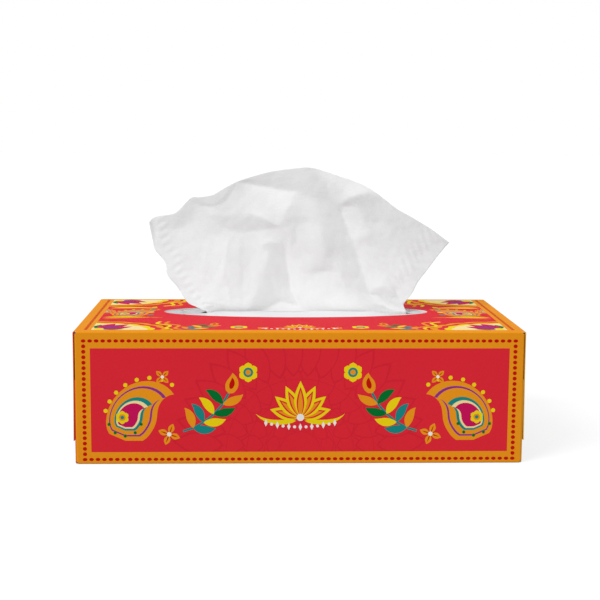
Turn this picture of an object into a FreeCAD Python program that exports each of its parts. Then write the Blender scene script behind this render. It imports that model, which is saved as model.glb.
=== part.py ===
import FreeCAD, Part

# A flat carton of facial tissues, standing on its bottom panel, with one tissue drawn half out.
# Frame: origin under the middle of the box, X along the front panel, Y to the back, Z up.
# The carton is one printed paperboard blank: four panels in a sleeve, closed at both ends by
# dust flaps, a bottom flap and a top flap, all glued, with an oval window in the top panel.
# Under the window a thin film with a long slit, its ends round, holds the leading tissue upright.

import math
import os
import re

import Sketcher
from FreeCAD import Placement, Rotation, Vector

SHEET_NAME = "sizes"

# Driving dimensions in millimetres, one row each: alias, value, meaning.
SIZES = [
    ("box_length", 210.0, "front panel between its two upright creases"),
    ("box_depth", 112.0, "outside, front to back"),
    ("box_height", 63.0, "outside, bottom to top panel"),
    ("board_thickness", 0.45, "coated paperboard"),
    ("crease_inside", 0.3, "inner radius of a scored fold"),
    ("flap_trim", 0.3, "outer flap cut short of the crease at each side"),
    ("dust_flap_gap", 18.0, "between the tips of the front and back dust flaps"),
    ("bottom_flap_stop", 23.0, "tip of the bottom outer flap below the top of the box"),
    ("top_flap_stop", 11.0, "tip of the top outer flap above the bottom of the box"),
    ("glue_flap_width", 14.0, "lap from the bottom panel inside the back panel"),
    ("window_length", 135.6, "oval window in the top panel, along X"),
    ("window_width", 39.6, "oval window in the top panel, along Y"),
    ("window_setback", 47.0, "middle of the window from the back edge"),
    ("film_margin", 9.0, "glued border of film around the window"),
    ("film_thickness", 0.08, "polyethylene film"),
    ("film_corner", 8.0, "corner radius of the film patch"),
    ("slit_length", 120.0, "slit in the film, along X"),
    ("slit_width", 9.0, "slit as the tissue spreads it"),
    ("pile_end_gap", 5.55, "end of the pile of folded tissues to the dust flaps"),
    ("pile_side_gap", 3.55, "rounded folds of the pile to the front or back panel"),
    ("head_space", 10.1, "top of the pile to the top panel in a box just opened"),
    ("leaf_thickness", 6.5, "one group of interfolded tissues in the pile"),
    ("tissue_thickness", 0.24, "two plies with the air between them"),
    ("tissue_pile_gap", 0.3, "air under the leading tissue"),
    ("tissue_fold_radius", 1.3, "half-round fold of the leading tissue over the pile"),
    ("fold_setback", 2.0, "front fold of the leading tissue behind the pile's front"),
    ("tissue_bend_radius", 3.0, "bend where the tissue turns up to the slit"),
    ("tissue_side_inset", 4.0, "side of the leading tissue in from the end of the pile"),
    ("tissue_return", 62.0, "lower half of the tissue behind its front fold"),
    ("tissue_rise", 73.8, "crown of the standing tissue above the top panel"),
    ("tissue_left_gap", 14.0, "left end of the slit to the standing tissue"),
    ("tissue_right_gap", 3.0, "right end of the slit to the standing tissue"),
    ("gather_depth", 2.6, "gathers of the tissue in the slit, to each side"),
]

doc = FreeCAD.newDocument("tissue_box")


def make_sheet():
    """Write the driving dimensions into the document's spreadsheet."""
    sheet = doc.addObject("Spreadsheet::Sheet", SHEET_NAME)
    for row, (alias, value, meaning) in enumerate(SIZES, start=1):
        sheet.set(f"A{row}", meaning)
        sheet.set(f"B{row}", str(value))
        sheet.setAlias(f"B{row}", alias)
    doc.recompute()
    return sheet


sizes = make_sheet()


def size(alias):
    """Read one driving dimension as a number of millimetres."""
    return float(sizes.get(alias))


def expr(text):
    """Point every alias in an expression at the sheet."""
    aliases = "|".join(row[0] for row in SIZES)
    return re.sub(rf"\b({aliases})\b", rf"{SHEET_NAME}.\1", text)


def origin_plane(body, role):
    """Find one of the body's own origin planes by its role."""
    return next(plane for plane in body.Origin.OriginFeatures if plane.Role == role)


def new_body(name):
    """Make a body whose label is the node's name."""
    body = doc.addObject("PartDesign::Body", name)
    body.Label = name
    return body


def new_sketch(body, name, role, lift="0"):
    """Attach a sketch to an origin plane, lifted along the plane's normal."""
    sketch = body.newObject("Sketcher::SketchObject", name)
    sketch.AttachmentSupport = [(origin_plane(body, role), "")]
    sketch.MapMode = "FlatFace"
    sketch.setExpression("AttachmentOffset.Base.z", expr(lift))
    return sketch


def value(text):
    """Work out an expression in the sheet's cells as a number."""
    result = sizes.evalExpression(expr(text))
    return float(getattr(result, "Value", result))


def hold(sketch, label, text, *constraint):
    """Add a dimension to a sketch and tie it to an expression."""
    number = sketch.addConstraint(Sketcher.Constraint(*constraint, value(text)))
    sketch.renameConstraint(number, label)
    sketch.setExpression(f"Constraints.{label}", expr(text))


def add_outline(sketch, tag, corners, radii):
    """Draw a closed outline of level and upright sides, the first one level.

    Each corner is a pair of expressions. Its radius is an expression, or None where it is sharp.
    """
    count = len(corners)
    points = [Vector(value(x), value(y), 0) for x, y in corners]
    sizes_of_arcs = [value(text) if text else 0.0 for text in radii]
    ahead = [(points[(i + 1) % count] - points[i]).normalize() for i in range(count)]
    sides = []
    for index in range(count):
        following = (index + 1) % count
        start = points[index] + ahead[index] * sizes_of_arcs[index]
        end = points[following] - ahead[index] * sizes_of_arcs[following]
        sides.append(sketch.addGeometry(Part.LineSegment(start, end), False))
    for index, side in enumerate(sides):
        level = index % 2 == 0
        sketch.addConstraint(Sketcher.Constraint("Horizontal" if level else "Vertical", side))
        kind, text = ("DistanceY", corners[index][1]) if level else ("DistanceX", corners[index][0])
        hold(sketch, f"{tag}_side{index}", text, kind, -1, 1, side, 1)
    for index, radius in enumerate(sizes_of_arcs):
        before, side = sides[index - 1], sides[index]
        if not radius:
            sketch.addConstraint(Sketcher.Constraint("Coincident", before, 2, side, 1))
            continue
        arrive, leave = ahead[index - 1], ahead[index]
        middle = points[index] + (leave - arrive) * radius
        turns_left = arrive.cross(leave).z > 0
        first = -leave if turns_left else arrive
        start_angle = math.atan2(first.y, first.x)
        circle = Part.Circle(middle, Vector(0, 0, 1), radius)
        arc = sketch.addGeometry(Part.ArcOfCircle(circle, start_angle, start_angle + math.pi / 2), False)
        near_end, far_end = (1, 2) if turns_left else (2, 1)
        sketch.addConstraint(Sketcher.Constraint("Tangent", before, 2, arc, near_end))
        sketch.addConstraint(Sketcher.Constraint("Tangent", side, 1, arc, far_end))
        hold(sketch, f"{tag}_round{index}", radii[index], "Radius", arc)


def pad(body, sketch, name, length, both_ways=False):
    """Pad a sketch by a length from the sheet, upward or evenly to both sides."""
    feature = body.newObject("PartDesign::Pad", name)
    feature.Profile = sketch
    feature.Midplane = both_ways
    feature.setExpression("Length", expr(length))
    doc.recompute()
    return feature


def pocket(body, sketch, name, length):
    """Pocket a sketch, and make sure that it took material away."""
    before = body.Shape.Volume
    feature = body.newObject("PartDesign::Pocket", name)
    feature.Profile = sketch
    feature.setExpression("Length", expr(length))
    doc.recompute()
    if body.Shape.Volume >= before:
        raise ValueError(f"{name} cuts nothing")
    return feature


def add_oval(sketch, tag, middle, half_length, half_width):
    """Draw an ellipse along X from expressions for its middle and its half axes."""
    centre = Vector(value(middle[0]), value(middle[1]), 0)
    major = centre + Vector(value(half_length), 0, 0)
    minor = centre + Vector(0, value(half_width), 0)
    oval = sketch.addGeometry(Part.Ellipse(major, minor, centre), False)
    sketch.exposeInternalGeometry(oval)
    long_axis, short_axis = oval + 1, oval + 2
    sketch.addConstraint(Sketcher.Constraint("Horizontal", long_axis))
    hold(sketch, f"{tag}_x", middle[0], "DistanceX", -1, 1, oval, 3)
    hold(sketch, f"{tag}_y", middle[1], "DistanceY", -1, 1, oval, 3)
    hold(sketch, f"{tag}_long", f"2 * {half_length}", "Distance", long_axis)
    hold(sketch, f"{tag}_short", f"2 * {half_width}", "Distance", short_axis)


def add_bracket(sketch, tag, half_width, face, toward, flap):
    """Draw a panel with a flap folded from each end, as one strip of board.

    half_width and face place the outer surfaces, toward is + or - for the flaps' direction, and
    flap is their length from the outer face.
    """
    inner = f"( {half_width} - board_thickness )"
    inside = f"{face} {toward} board_thickness"
    tip = f"{face} {toward} ( {flap} )"
    corners = [(f"-( {half_width} )", face), (half_width, face), (half_width, tip), (inner, tip),
               (inner, inside), (f"-{inner}", inside), (f"-{inner}", tip), (f"-( {half_width} )", tip)]
    outer_round, inner_round = "( crease_inside + board_thickness )", "crease_inside"
    radii = [outer_round, outer_round, None, None, inner_round, inner_round, None, None]
    add_outline(sketch, tag, corners, radii)


def build_carton():
    """Fold the carton: sleeve, dust flaps, outer flaps at both ends, lap and oval window."""
    body = new_body("carton")
    outer_round, inner_round = "( crease_inside + board_thickness )", "crease_inside"

    # Four panels as a sleeve with rounded long creases, just short of the end folds.
    half, rim = "box_depth / 2", "( box_depth / 2 - board_thickness )"
    lid, floor = "box_height - board_thickness", "board_thickness"
    section = new_sketch(body, "sleeve_section", "YZ_Plane")
    add_outline(section, "outer", [(f"-{half}", "0"), (half, "0"), (half, "box_height"),
                                   (f"-{half}", "box_height")], [outer_round] * 4)
    add_outline(section, "inner", [(f"-{rim}", floor), (rim, floor), (rim, lid), (f"-{rim}", lid)],
                [inner_round] * 4)
    pad(body, section, "sleeve", f"box_length - 2 * {outer_round}", both_ways=True)

    # Front and back panels carried round the upright creases into the dust flaps.
    for tag, face, toward in (("front_wrap", f"-{half}", "+"), ("back_wrap", half, "-")):
        plan = new_sketch(body, f"{tag}_plan", "XY_Plane", "board_thickness")
        add_bracket(plan, tag, "box_length / 2", face, toward, "( box_depth - dust_flap_gap ) / 2")
        pad(body, plan, tag, "box_height - 2 * board_thickness")

    # Bottom panel with its outer flaps turned up and glued on the dust flaps, then the top
    # panel with its outer flaps turned down over those.
    flap_width = f"box_depth - 2 * ( {outer_round} + flap_trim )"
    tray = new_sketch(body, "bottom_profile", "XZ_Plane")
    add_bracket(tray, "tray", "box_length / 2 + board_thickness", "0", "+",
                "box_height - bottom_flap_stop")
    pad(body, tray, "bottom_flaps", flap_width, both_ways=True)
    cover = new_sketch(body, "top_profile", "XZ_Plane")
    add_bracket(cover, "cover", "box_length / 2 + 2 * board_thickness", "box_height", "-",
                "( box_height - top_flap_stop )")
    pad(body, cover, "top_flaps", flap_width, both_ways=True)

    # The lap that closes the sleeve stands on the bottom panel, glued inside the back panel.
    lap_face = "( box_depth / 2 - 2 * board_thickness )"
    lap = new_sketch(body, "lap_section", "YZ_Plane")
    add_outline(lap, "lap", [(lap_face, floor), (rim, floor), (rim, "glue_flap_width"),
                             (lap_face, "glue_flap_width")], [None] * 4)
    pad(body, lap, "lap", f"box_length - 4 * {outer_round}", both_ways=True)

    oval = new_sketch(body, "window_oval", "XY_Plane", "box_height")
    add_oval(oval, "window", ("0", "box_depth / 2 - window_setback"), "window_length / 2",
             "window_width / 2")
    pocket(body, oval, "window", "2 * board_thickness")
    return body


def build_film():
    """Lay the film under the top panel, cut by a slit with round ends along the window."""
    body = new_body("slit_film")
    middle = "box_depth / 2 - window_setback"
    half_x, half_y = "( window_length / 2 + film_margin )", "( window_width / 2 + film_margin )"
    under = "box_height - board_thickness - film_thickness"
    patch = new_sketch(body, "film_patch", "XY_Plane", under)
    low, high = f"{middle} - {half_y}", f"{middle} + {half_y}"
    add_outline(patch, "patch", [(f"-{half_x}", low), (half_x, low), (half_x, high), (f"-{half_x}", high)],
                ["film_corner"] * 4)
    pad(body, patch, "film", "film_thickness")
    slit = new_sketch(body, "slit_outline", "XY_Plane", "box_height - board_thickness")
    front, back = f"{middle} - slit_width / 2", f"{middle} + slit_width / 2"
    left, right = "-slit_length / 2", "slit_length / 2"
    add_outline(slit, "slit", [(left, front), (right, front), (right, back), (left, back)],
                ["0.48 * slit_width"] * 4)
    pocket(body, slit, "slit", "2 * film_thickness")
    return body


def pile_top():
    """Find the height of the pile's top, under the head space."""
    return value("box_height - board_thickness - head_space")


def build_pile():
    """Stack the folded tissues as one block whose long sides show their rounded folds."""
    body = new_body("tissue_pile")
    base = size("board_thickness")
    leaves = max(1, round((pile_top() - base) / size("leaf_thickness")))
    leaf = (pile_top() - base) / leaves
    flat = value("box_depth / 2 - board_thickness - pile_side_gap") - leaf / 2
    section = new_sketch(body, "pile_section", "YZ_Plane")
    edges = [Part.LineSegment(Vector(-flat, base, 0), Vector(flat, base, 0))]
    for number in range(leaves):
        low = base + number * leaf
        edges.append(Part.Arc(Vector(flat, low, 0), Vector(flat + leaf / 2, low + leaf / 2, 0),
                              Vector(flat, low + leaf, 0)))
    top = base + leaves * leaf
    edges.append(Part.LineSegment(Vector(flat, top, 0), Vector(-flat, top, 0)))
    for number in reversed(range(leaves)):
        low = base + number * leaf
        edges.append(Part.Arc(Vector(-flat, low + leaf, 0), Vector(-flat - leaf / 2, low + leaf / 2, 0),
                              Vector(-flat, low, 0)))
    section.addGeometry(edges, False)
    for number in range(len(edges)):
        section.addConstraint(Sketcher.Constraint("Block", number))
    pad(body, section, "pile", "box_length - 2 * ( board_thickness + pile_end_gap )", both_ways=True)
    return body


# Outline of the standing tissue, drawn flat: each point is (x, rise above the top panel).
LEFT_EDGE = [(-54.0, 4.0), (-60.5, 11.0), (-66.5, 20.0), (-72.5, 32.0)]
LEFT_CORNER = (-75.7, 45.7)
CROWN = [(-61.5, 51.1), (-50.0, 59.0), (-33.8, 65.5), (-18.5, 70.6), (20.0, 70.0), (40.8, 60.8),
         (63.6, 45.6)]
CROWN_TOP = (2.0, 73.8)
RIGHT_CORNER = (79.1, 34.7)
RIGHT_EDGE = [(55.7, 3.5), (59.5, 9.5), (67.0, 22.0)]

# Creases of the standing tissue, from the left edge to the right. Each has its place across the
# sheet, from 0 to 1, and its depth, less than nothing in front, at the slit, half way and crown.
CREASES = [
    ((0.000, 0.000, 0.000), (0.0, 1.0, -4.0)),
    ((0.087, 0.215, 0.154), (-2.3, -5.0, -1.5)),
    ((0.165, 0.270, 0.300), (1.8, 1.2, 3.0)),
    ((0.214, 0.380, 0.420), (-2.4, -4.0, -1.0)),
    ((0.456, 0.460, 0.440), (2.6, 2.0, -1.0)),
    ((0.728, 0.600, 0.521), (-2.6, -9.0, -6.0)),
    ((0.864, 0.725, 0.560), (2.2, 4.5, 2.0)),
    ((0.932, 0.800, 0.773), (-1.7, -3.0, -2.5)),
    ((1.000, 1.000, 1.000), (1.0, 3.0, 6.0)),
]
CREASE_SOFTNESS = 0.035
# The swell across the sheet under the crown: place, reach across and up, and depth.
SWELL = {"across": 0.36, "up": 0.72, "reach": 0.13, "height": 0.17, "depth": -6.0}
# Depth of the deepest gather in the creases above, which gather_depth scales.
GATHER_DRAWN = 2.6
# The gathers clear the layer of tissue under them.
FOLD_CLEARANCE = 0.4
# How finely the sheet is drawn.
WIDE_BAY = 0.09
STANDING_ROWS = 10
LAYER_ROWS = 3
FOLD_ROWS = 4
BEND_ROWS = 2


def through(points, share):
    """Follow a smooth line through some points to a share of its length, from 0 to 1."""
    lengths = [0.0]
    for first, second in zip(points, points[1:]):
        lengths.append(lengths[-1] + math.dist(first, second))
    goal = share * lengths[-1]
    span = max(i for i in range(len(points) - 1) if lengths[i] <= goal + 1e-9)
    step = lengths[span + 1] - lengths[span]
    part = (goal - lengths[span]) / step
    before = points[max(span - 1, 0)]
    after = points[min(span + 2, len(points) - 1)]
    start, end = points[span], points[span + 1]
    place = []
    for axis in range(len(start)):
        slope_in = (end[axis] - before[axis]) / 2
        slope_out = (after[axis] - start[axis]) / 2
        a = 2 * start[axis] - 2 * end[axis] + slope_in + slope_out
        b = -3 * start[axis] + 3 * end[axis] - 2 * slope_in - slope_out
        place.append(((a * part + b) * part + slope_in) * part + start[axis])
    return place


def three_way(values, share):
    """Blend three values, at the slit, half way and at the crown."""
    low, middle, high = values
    if share < 0.5:
        return low + (middle - low) * share * 2
    return middle + (high - middle) * (share - 0.5) * 2


def crease_depth(across, up):
    """Depth of the creased sheet at one place, rounded over at each crease."""
    lines = [(three_way(places, up), three_way(depths, up)) for places, depths in CREASES]
    total = 0.0
    shifts = [-1.0, -0.5, 0.0, 0.5, 1.0]
    for shift in shifts:
        place = min(max(across + shift * CREASE_SOFTNESS, 0.0), 1.0)
        for (left, left_depth), (right, right_depth) in zip(lines, lines[1:]):
            if place <= right or right == 1.0:
                total += left_depth + (right_depth - left_depth) * (place - left) / (right - left)
                break
    return total / len(shifts)


def swell_depth(across, up):
    """Depth of the swell that the sheet has under its crown."""
    sideways = (across - SWELL["across"]) / SWELL["reach"]
    upward = (up - SWELL["up"]) / SWELL["height"]
    return SWELL["depth"] * math.exp(-sideways ** 2 - upward ** 2)


def standing_point(across, up):
    """Place one point of the sheet above the slit, from its left edge and the slit upward."""
    slit_left = -size("slit_length") / 2 + size("tissue_left_gap")
    slit_right = size("slit_length") / 2 - size("tissue_right_gap")
    lift = size("tissue_rise") / CROWN_TOP[1]
    left = [(slit_left, 0.0)] + LEFT_EDGE + [LEFT_CORNER]
    right = [(slit_right, 0.0)] + RIGHT_EDGE + [RIGHT_CORNER]
    crown = [LEFT_CORNER] + CROWN[:4] + [CROWN_TOP] + CROWN[4:] + [RIGHT_CORNER]
    foot = (slit_left + (slit_right - slit_left) * across, 0.0)
    top, on_left, on_right = through(crown, across), through(left, up), through(right, up)
    flat = []
    for axis in range(2):
        edges = (1 - across) * on_left[axis] + across * on_right[axis]
        ends = (1 - up) * foot[axis] + up * top[axis]
        corners = ((1 - up) * ((1 - across) * left[0][axis] + across * right[0][axis])
                   + up * ((1 - across) * left[-1][axis] + across * right[-1][axis]))
        flat.append(edges + ends - corners)
    depth = size("gather_depth") * crease_depth(across, up) / GATHER_DRAWN
    middle = size("box_depth") / 2 - size("window_setback")
    height = size("box_height") + flat[1] * lift
    return Vector(flat[0], middle + depth + swell_depth(across, up), height)


def columns(up):
    """List the places across the sheet that one row needs: its creases, and middles of wide bays."""
    places = [0.0]
    for (left, _), (right, _) in zip(CREASES, CREASES[1:]):
        if right[1] - left[1] > WIDE_BAY:
            places.append((three_way(left, up) + three_way(right, up)) / 2)
        places.append(three_way(right, up))
    return places


def lying_rows():
    """Place the rows of the sheet below the slit, from its lower edge up to the slit."""
    low = pile_top() + size("tissue_pile_gap") + size("tissue_thickness") / 2
    fold = size("tissue_fold_radius")
    fold_y = fold - value("box_depth / 2 - board_thickness - pile_side_gap - fold_setback")
    bend = size("tissue_bend_radius")
    slit_y = size("box_depth") / 2 - size("window_setback")
    high = low + 2 * fold
    bend_z = high + size("gather_depth") + FOLD_CLEARANCE
    lane = [(fold_y + size("tissue_return"), low, 180.0, 0.0)]
    for step in range(FOLD_ROWS + 1):
        turn = 180.0 * step / FOLD_ROWS
        angle = math.radians(turn)
        lane.append((fold_y - fold * math.sin(angle), low + fold - fold * math.cos(angle), 180.0 - turn, 0.0))
    for step in range(1, LAYER_ROWS + 1):
        share = step / LAYER_ROWS
        lane.append((fold_y + (slit_y - bend - fold_y) * share, high + (bend_z - high) * share ** 2, 0.0, share))
    for step in range(1, BEND_ROWS + 1):
        angle = math.radians(90.0 * step / BEND_ROWS)
        lane.append((slit_y - bend + bend * math.sin(angle), bend_z + bend - bend * math.cos(angle),
                     90.0 * step / BEND_ROWS, 1.0))
    slit_left = -size("slit_length") / 2 + size("tissue_left_gap")
    slit_right = size("slit_length") / 2 - size("tissue_right_gap")
    half_flat = value("box_length / 2 - board_thickness - pile_end_gap - tissue_side_inset")
    rows = []
    for y, z, heading, gathered in lane:
        drawn_in = gathered ** 2 * (3 - 2 * gathered)
        left = -half_flat + (slit_left + half_flat) * drawn_in
        right = half_flat + (slit_right - half_flat) * drawn_in
        lean_y, lean_z = math.sin(math.radians(heading)), -math.cos(math.radians(heading))
        row = []
        for across in columns(0.0):
            depth = size("gather_depth") * crease_depth(across, 0.0) / GATHER_DRAWN * gathered
            row.append(Vector(left + (right - left) * across, y + lean_y * depth, z + lean_z * depth))
        rows.append(row)
    return rows


def sheet_normals(rows):
    """Work out the unit normal of the sheet at each point of its grid of rows."""
    normals = []
    for number, row in enumerate(rows):
        below, above = rows[max(number - 1, 0)], rows[min(number + 1, len(rows) - 1)]
        line = []
        for column in range(len(row)):
            left, right = max(column - 1, 0), min(column + 1, len(row) - 1)
            sideways = row[right] - row[left]
            upward = above[column] - below[column]
            line.append(sideways.cross(upward).normalize())
        normals.append(line)
    return normals


def sheet_faces(row, normals, thickness):
    """Place both faces of the sheet along one row, half its thickness to each side."""
    front = [point + normal * (thickness / 2) for point, normal in zip(row, normals)]
    back = [point - normal * (thickness / 2) for point, normal in zip(row, normals)]
    return front, back


def build_tissue():
    """Loft the leading tissue: folded on the pile, gathered in the slit and spread above it."""
    rows = lying_rows()
    for step in range(STANDING_ROWS + 1):
        up = step / STANDING_ROWS
        rows.append([standing_point(across, up) for across in columns(up)])
    normals = sheet_normals(rows)
    thickness = size("tissue_thickness")
    faces = [sheet_faces(row, line, thickness) for row, line in zip(rows, normals)]
    sections = [Part.makePolygon(front + back[::-1] + [front[0]]) for front, back in faces]
    skin = Part.makeLoft(sections, False, True)
    ends = [Part.makeRuledSurface(Part.makePolygon(front), Part.makePolygon(back))
            for front, back in (faces[0], faces[-1])]
    sewn = Part.makeCompound(skin.Faces + ends[0].Faces + ends[1].Faces)
    sewn.sewShape()
    solid = Part.Solid(sewn.Shells[0])
    if solid.Volume < 0:
        solid.reverse()
    tissue = doc.addObject("Part::Feature", "leading_tissue")
    tissue.Label = "leading_tissue"
    tissue.Shape = solid
    tissue.Placement = Placement(Vector(0, 0, 0), Rotation())
    return tissue


def check(parts):
    """Stop if any object failed to compute, or a part has no sound shape."""
    for item in doc.Objects:
        if "Invalid" in item.State or "Error" in item.State:
            raise ValueError(f"{item.Name} failed to compute")
    for item in parts:
        if item.Shape.isNull() or not item.Shape.isValid():
            raise ValueError(f"{item.Label} has no sound shape")
        if len(item.Shape.Solids) != 1:
            raise ValueError(f"{item.Label} is {len(item.Shape.Solids)} solids")


def main():
    """Build every piece of the tissue box and write one STEP file for each."""
    parts = [build_carton(), build_film(), build_pile(), build_tissue()]
    doc.recompute()
    check(parts)
    os.makedirs("parts", exist_ok=True)
    for item in parts:
        item.Shape.exportStep(f"parts/{item.Label}.step")
        print(item.Label, "volume", round(item.Shape.Volume, 1), "cubic millimetres")


main()
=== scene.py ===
import logging
import math
from dataclasses import dataclass, field
from enum import Enum

import bpy
import numpy as np
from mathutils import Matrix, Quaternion, Vector, geometry, noise


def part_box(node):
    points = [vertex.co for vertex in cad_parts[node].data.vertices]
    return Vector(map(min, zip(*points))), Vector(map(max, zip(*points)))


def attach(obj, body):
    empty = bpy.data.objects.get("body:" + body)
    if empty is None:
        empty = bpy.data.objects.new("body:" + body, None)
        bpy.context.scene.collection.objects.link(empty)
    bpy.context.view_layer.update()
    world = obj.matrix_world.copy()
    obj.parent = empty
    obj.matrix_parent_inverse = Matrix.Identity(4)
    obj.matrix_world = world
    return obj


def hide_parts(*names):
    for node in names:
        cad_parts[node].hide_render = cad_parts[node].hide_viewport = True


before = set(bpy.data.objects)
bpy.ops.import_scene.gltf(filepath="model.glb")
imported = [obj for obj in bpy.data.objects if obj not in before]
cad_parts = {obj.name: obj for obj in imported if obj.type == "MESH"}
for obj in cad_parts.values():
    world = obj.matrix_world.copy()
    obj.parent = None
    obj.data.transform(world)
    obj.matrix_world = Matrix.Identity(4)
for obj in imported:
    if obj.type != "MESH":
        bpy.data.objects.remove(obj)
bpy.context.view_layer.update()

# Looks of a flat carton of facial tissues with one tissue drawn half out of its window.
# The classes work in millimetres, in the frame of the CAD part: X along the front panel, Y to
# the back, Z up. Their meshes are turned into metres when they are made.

LOG = logging.getLogger("tissue_box")
MM = 0.001
BODY = "root"

# A place, a size or a range: two numbers.
Point = tuple[float, float]
Triple = tuple[float, float, float]
Colour = Triple
Socket = bpy.types.NodeSocket
Owner = bpy.types.Material | bpy.types.World

# Pitch and size of the dark red beads: along the border's rows, its columns and the top's ends.
ROW_PITCH, ROW_BEAD = 3.0, (2.3, 1.65)
COLUMN_PITCH, COLUMN_BEAD = 2.55, (2.05, 1.95)
TOP_PITCH, TOP_BEAD = 3.1, (1.8, 2.4)


def linear(colour: Colour) -> tuple[float, float, float, float]:
    """Turn a colour in sRGB into the linear light that shaders take, with an alpha of 1."""
    light = [c / 12.92 if c <= 0.04045 else ((c + 0.055) / 1.055) ** 2.4 for c in colour]
    return (*light, 1.0)


class NodeGraph:
    """The nodes of a new material or world, with short calls to add and join them."""

    def __init__(self, owner: Owner) -> None:
        """Empty the owner's node tree.

        Args:
            owner: The material or world.
        """
        self.owner = owner
        owner.use_nodes = True
        self.tree = owner.node_tree
        self.tree.nodes.clear()

    def add(self, kind: str, inputs: dict | None = None, **settings: object) -> bpy.types.Node:
        """Add one node.

        Args:
            kind: Blender's name for the kind of node.
            inputs: Value of each input socket that isn't left at its default.
            settings: Properties of the node.

        Returns:
            The node.
        """
        node = self.tree.nodes.new(kind)
        for key, value in settings.items():
            setattr(node, key, value)
        for key, value in (inputs or {}).items():
            node.inputs[key].default_value = value
        return node

    def join(self, source: Socket, target: Socket) -> None:
        """Join an output socket to an input socket."""
        self.tree.links.new(source, target)

    def speckle(self, where: Socket, scale: float, low: float, high: float,
                detail: float = 3.0) -> Socket:
        """Add a noise that runs between two values.

        Args:
            where: Coordinates that the noise is worked out at.
            scale: Size of the noise, in cells per metre.
            low: Value in its hollows.
            high: Value on its peaks.
            detail: How many finer layers it has.

        Returns:
            The output socket with the value.
        """
        cells = self.add("ShaderNodeTexNoise", {"Scale": scale, "Detail": detail})
        self.join(where, cells.inputs["Vector"])
        return self.ranged(cells.outputs["Fac"], (low, high), (0.3, 0.7))

    def ranged(self, value: Socket, to: Point, across: Point = (0.0, 1.0)) -> Socket:
        """Stretch a value from one range to another and hold it there.

        Args:
            value: Output socket with the value.
            to: The range that it comes to.
            across: The range that it comes from.

        Returns:
            The output socket with the result.
        """
        spread = self.add("ShaderNodeMapRange", {"From Min": across[0], "From Max": across[1],
                                                 "To Min": to[0], "To Max": to[1]})
        self.join(value, spread.inputs["Value"])
        return spread.outputs["Result"]

    def tinted(self, colour: Colour, amount: Socket) -> Socket:
        """Scale a colour's brightness by a value.

        Args:
            colour: The colour, in sRGB.
            amount: Output socket with the factor, near 1.

        Returns:
            The output socket with the colour.
        """
        tint = self.add("ShaderNodeHueSaturation", {"Color": linear(colour)})
        self.join(amount, tint.inputs["Value"])
        return tint.outputs["Color"]

    def math(self, operation: str, first: Socket, second: Socket | float = 0.0) -> Socket:
        """Work a value out of two others.

        Args:
            operation: Blender's name for what it does.
            first: Output socket with the first value.
            second: Output socket with the second value, or a number.

        Returns:
            The output socket with the result.
        """
        node = self.add("ShaderNodeMath", operation=operation)
        self.join(first, node.inputs[0])
        if isinstance(second, float):
            node.inputs[1].default_value = second
        else:
            self.join(second, node.inputs[1])
        return node.outputs[0]

    def blend(self, share: Socket, first: Socket | tuple, second: Socket | tuple) -> Socket:
        """Blend two colours.

        Args:
            share: Output socket with the share of the second colour.
            first: Output socket with a colour, or a linear colour.
            second: Output socket with a colour, or a linear colour.

        Returns:
            The output socket with the blend.
        """
        node = self.add("ShaderNodeMix", data_type="RGBA")
        self.join(share, node.inputs["Factor"])
        for number, colour in ((6, first), (7, second)):
            if isinstance(colour, tuple):
                node.inputs[number].default_value = colour
            else:
                self.join(colour, node.inputs[number])
        return node.outputs[2]

    def off_middle(self, place: Socket) -> tuple[Socket, Socket]:
        """Find a place's X and how far it lies from the middle of the box.

        Args:
            place: Output socket with the place.

        Returns:
            Output sockets with the two values.
        """
        parts = self.add("ShaderNodeSeparateXYZ")
        self.join(place, parts.inputs[0])
        return parts.outputs[0], self.math("ABSOLUTE", parts.outputs[0])

    def bump(self, height: Socket, depth: float) -> Socket:
        """Turn a height into a bump.

        Args:
            height: Output socket with the height, from 0 to 1.
            depth: What a height of 1 stands for, in metres.

        Returns:
            The output socket with the bumped normal.
        """
        bump = self.add("ShaderNodeBump", {"Strength": 1.0, "Distance": depth})
        self.join(height, bump.inputs["Height"])
        return bump.outputs["Normal"]

    def close(self, shader: bpy.types.Node, kind: str = "ShaderNodeOutputMaterial") -> Owner:
        """Join the shader to the output and hand the material or world over."""
        self.join(shader.outputs[0], self.add(kind).inputs["Surface"])
        return self.owner


class Ink(Enum):
    """What one patch of the printed blank is, with its colour in sRGB."""

    GOLD = (0.945, 0.600, 0.115)
    RED = (0.895, 0.170, 0.225)
    DARK_RED = (0.780, 0.080, 0.050)
    TONE_RED = (0.858, 0.152, 0.210)
    YELLOW = (0.955, 0.850, 0.080)
    TEAL = (0.110, 0.545, 0.525)
    GREEN = (0.020, 0.450, 0.190)
    MAGENTA = (0.800, 0.090, 0.360)
    PURPLE = (0.580, 0.200, 0.550)
    CREAM = (0.985, 0.890, 0.640)
    WHITE = (0.960, 0.950, 0.930)
    BOARD = (0.935, 0.925, 0.900)


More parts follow.
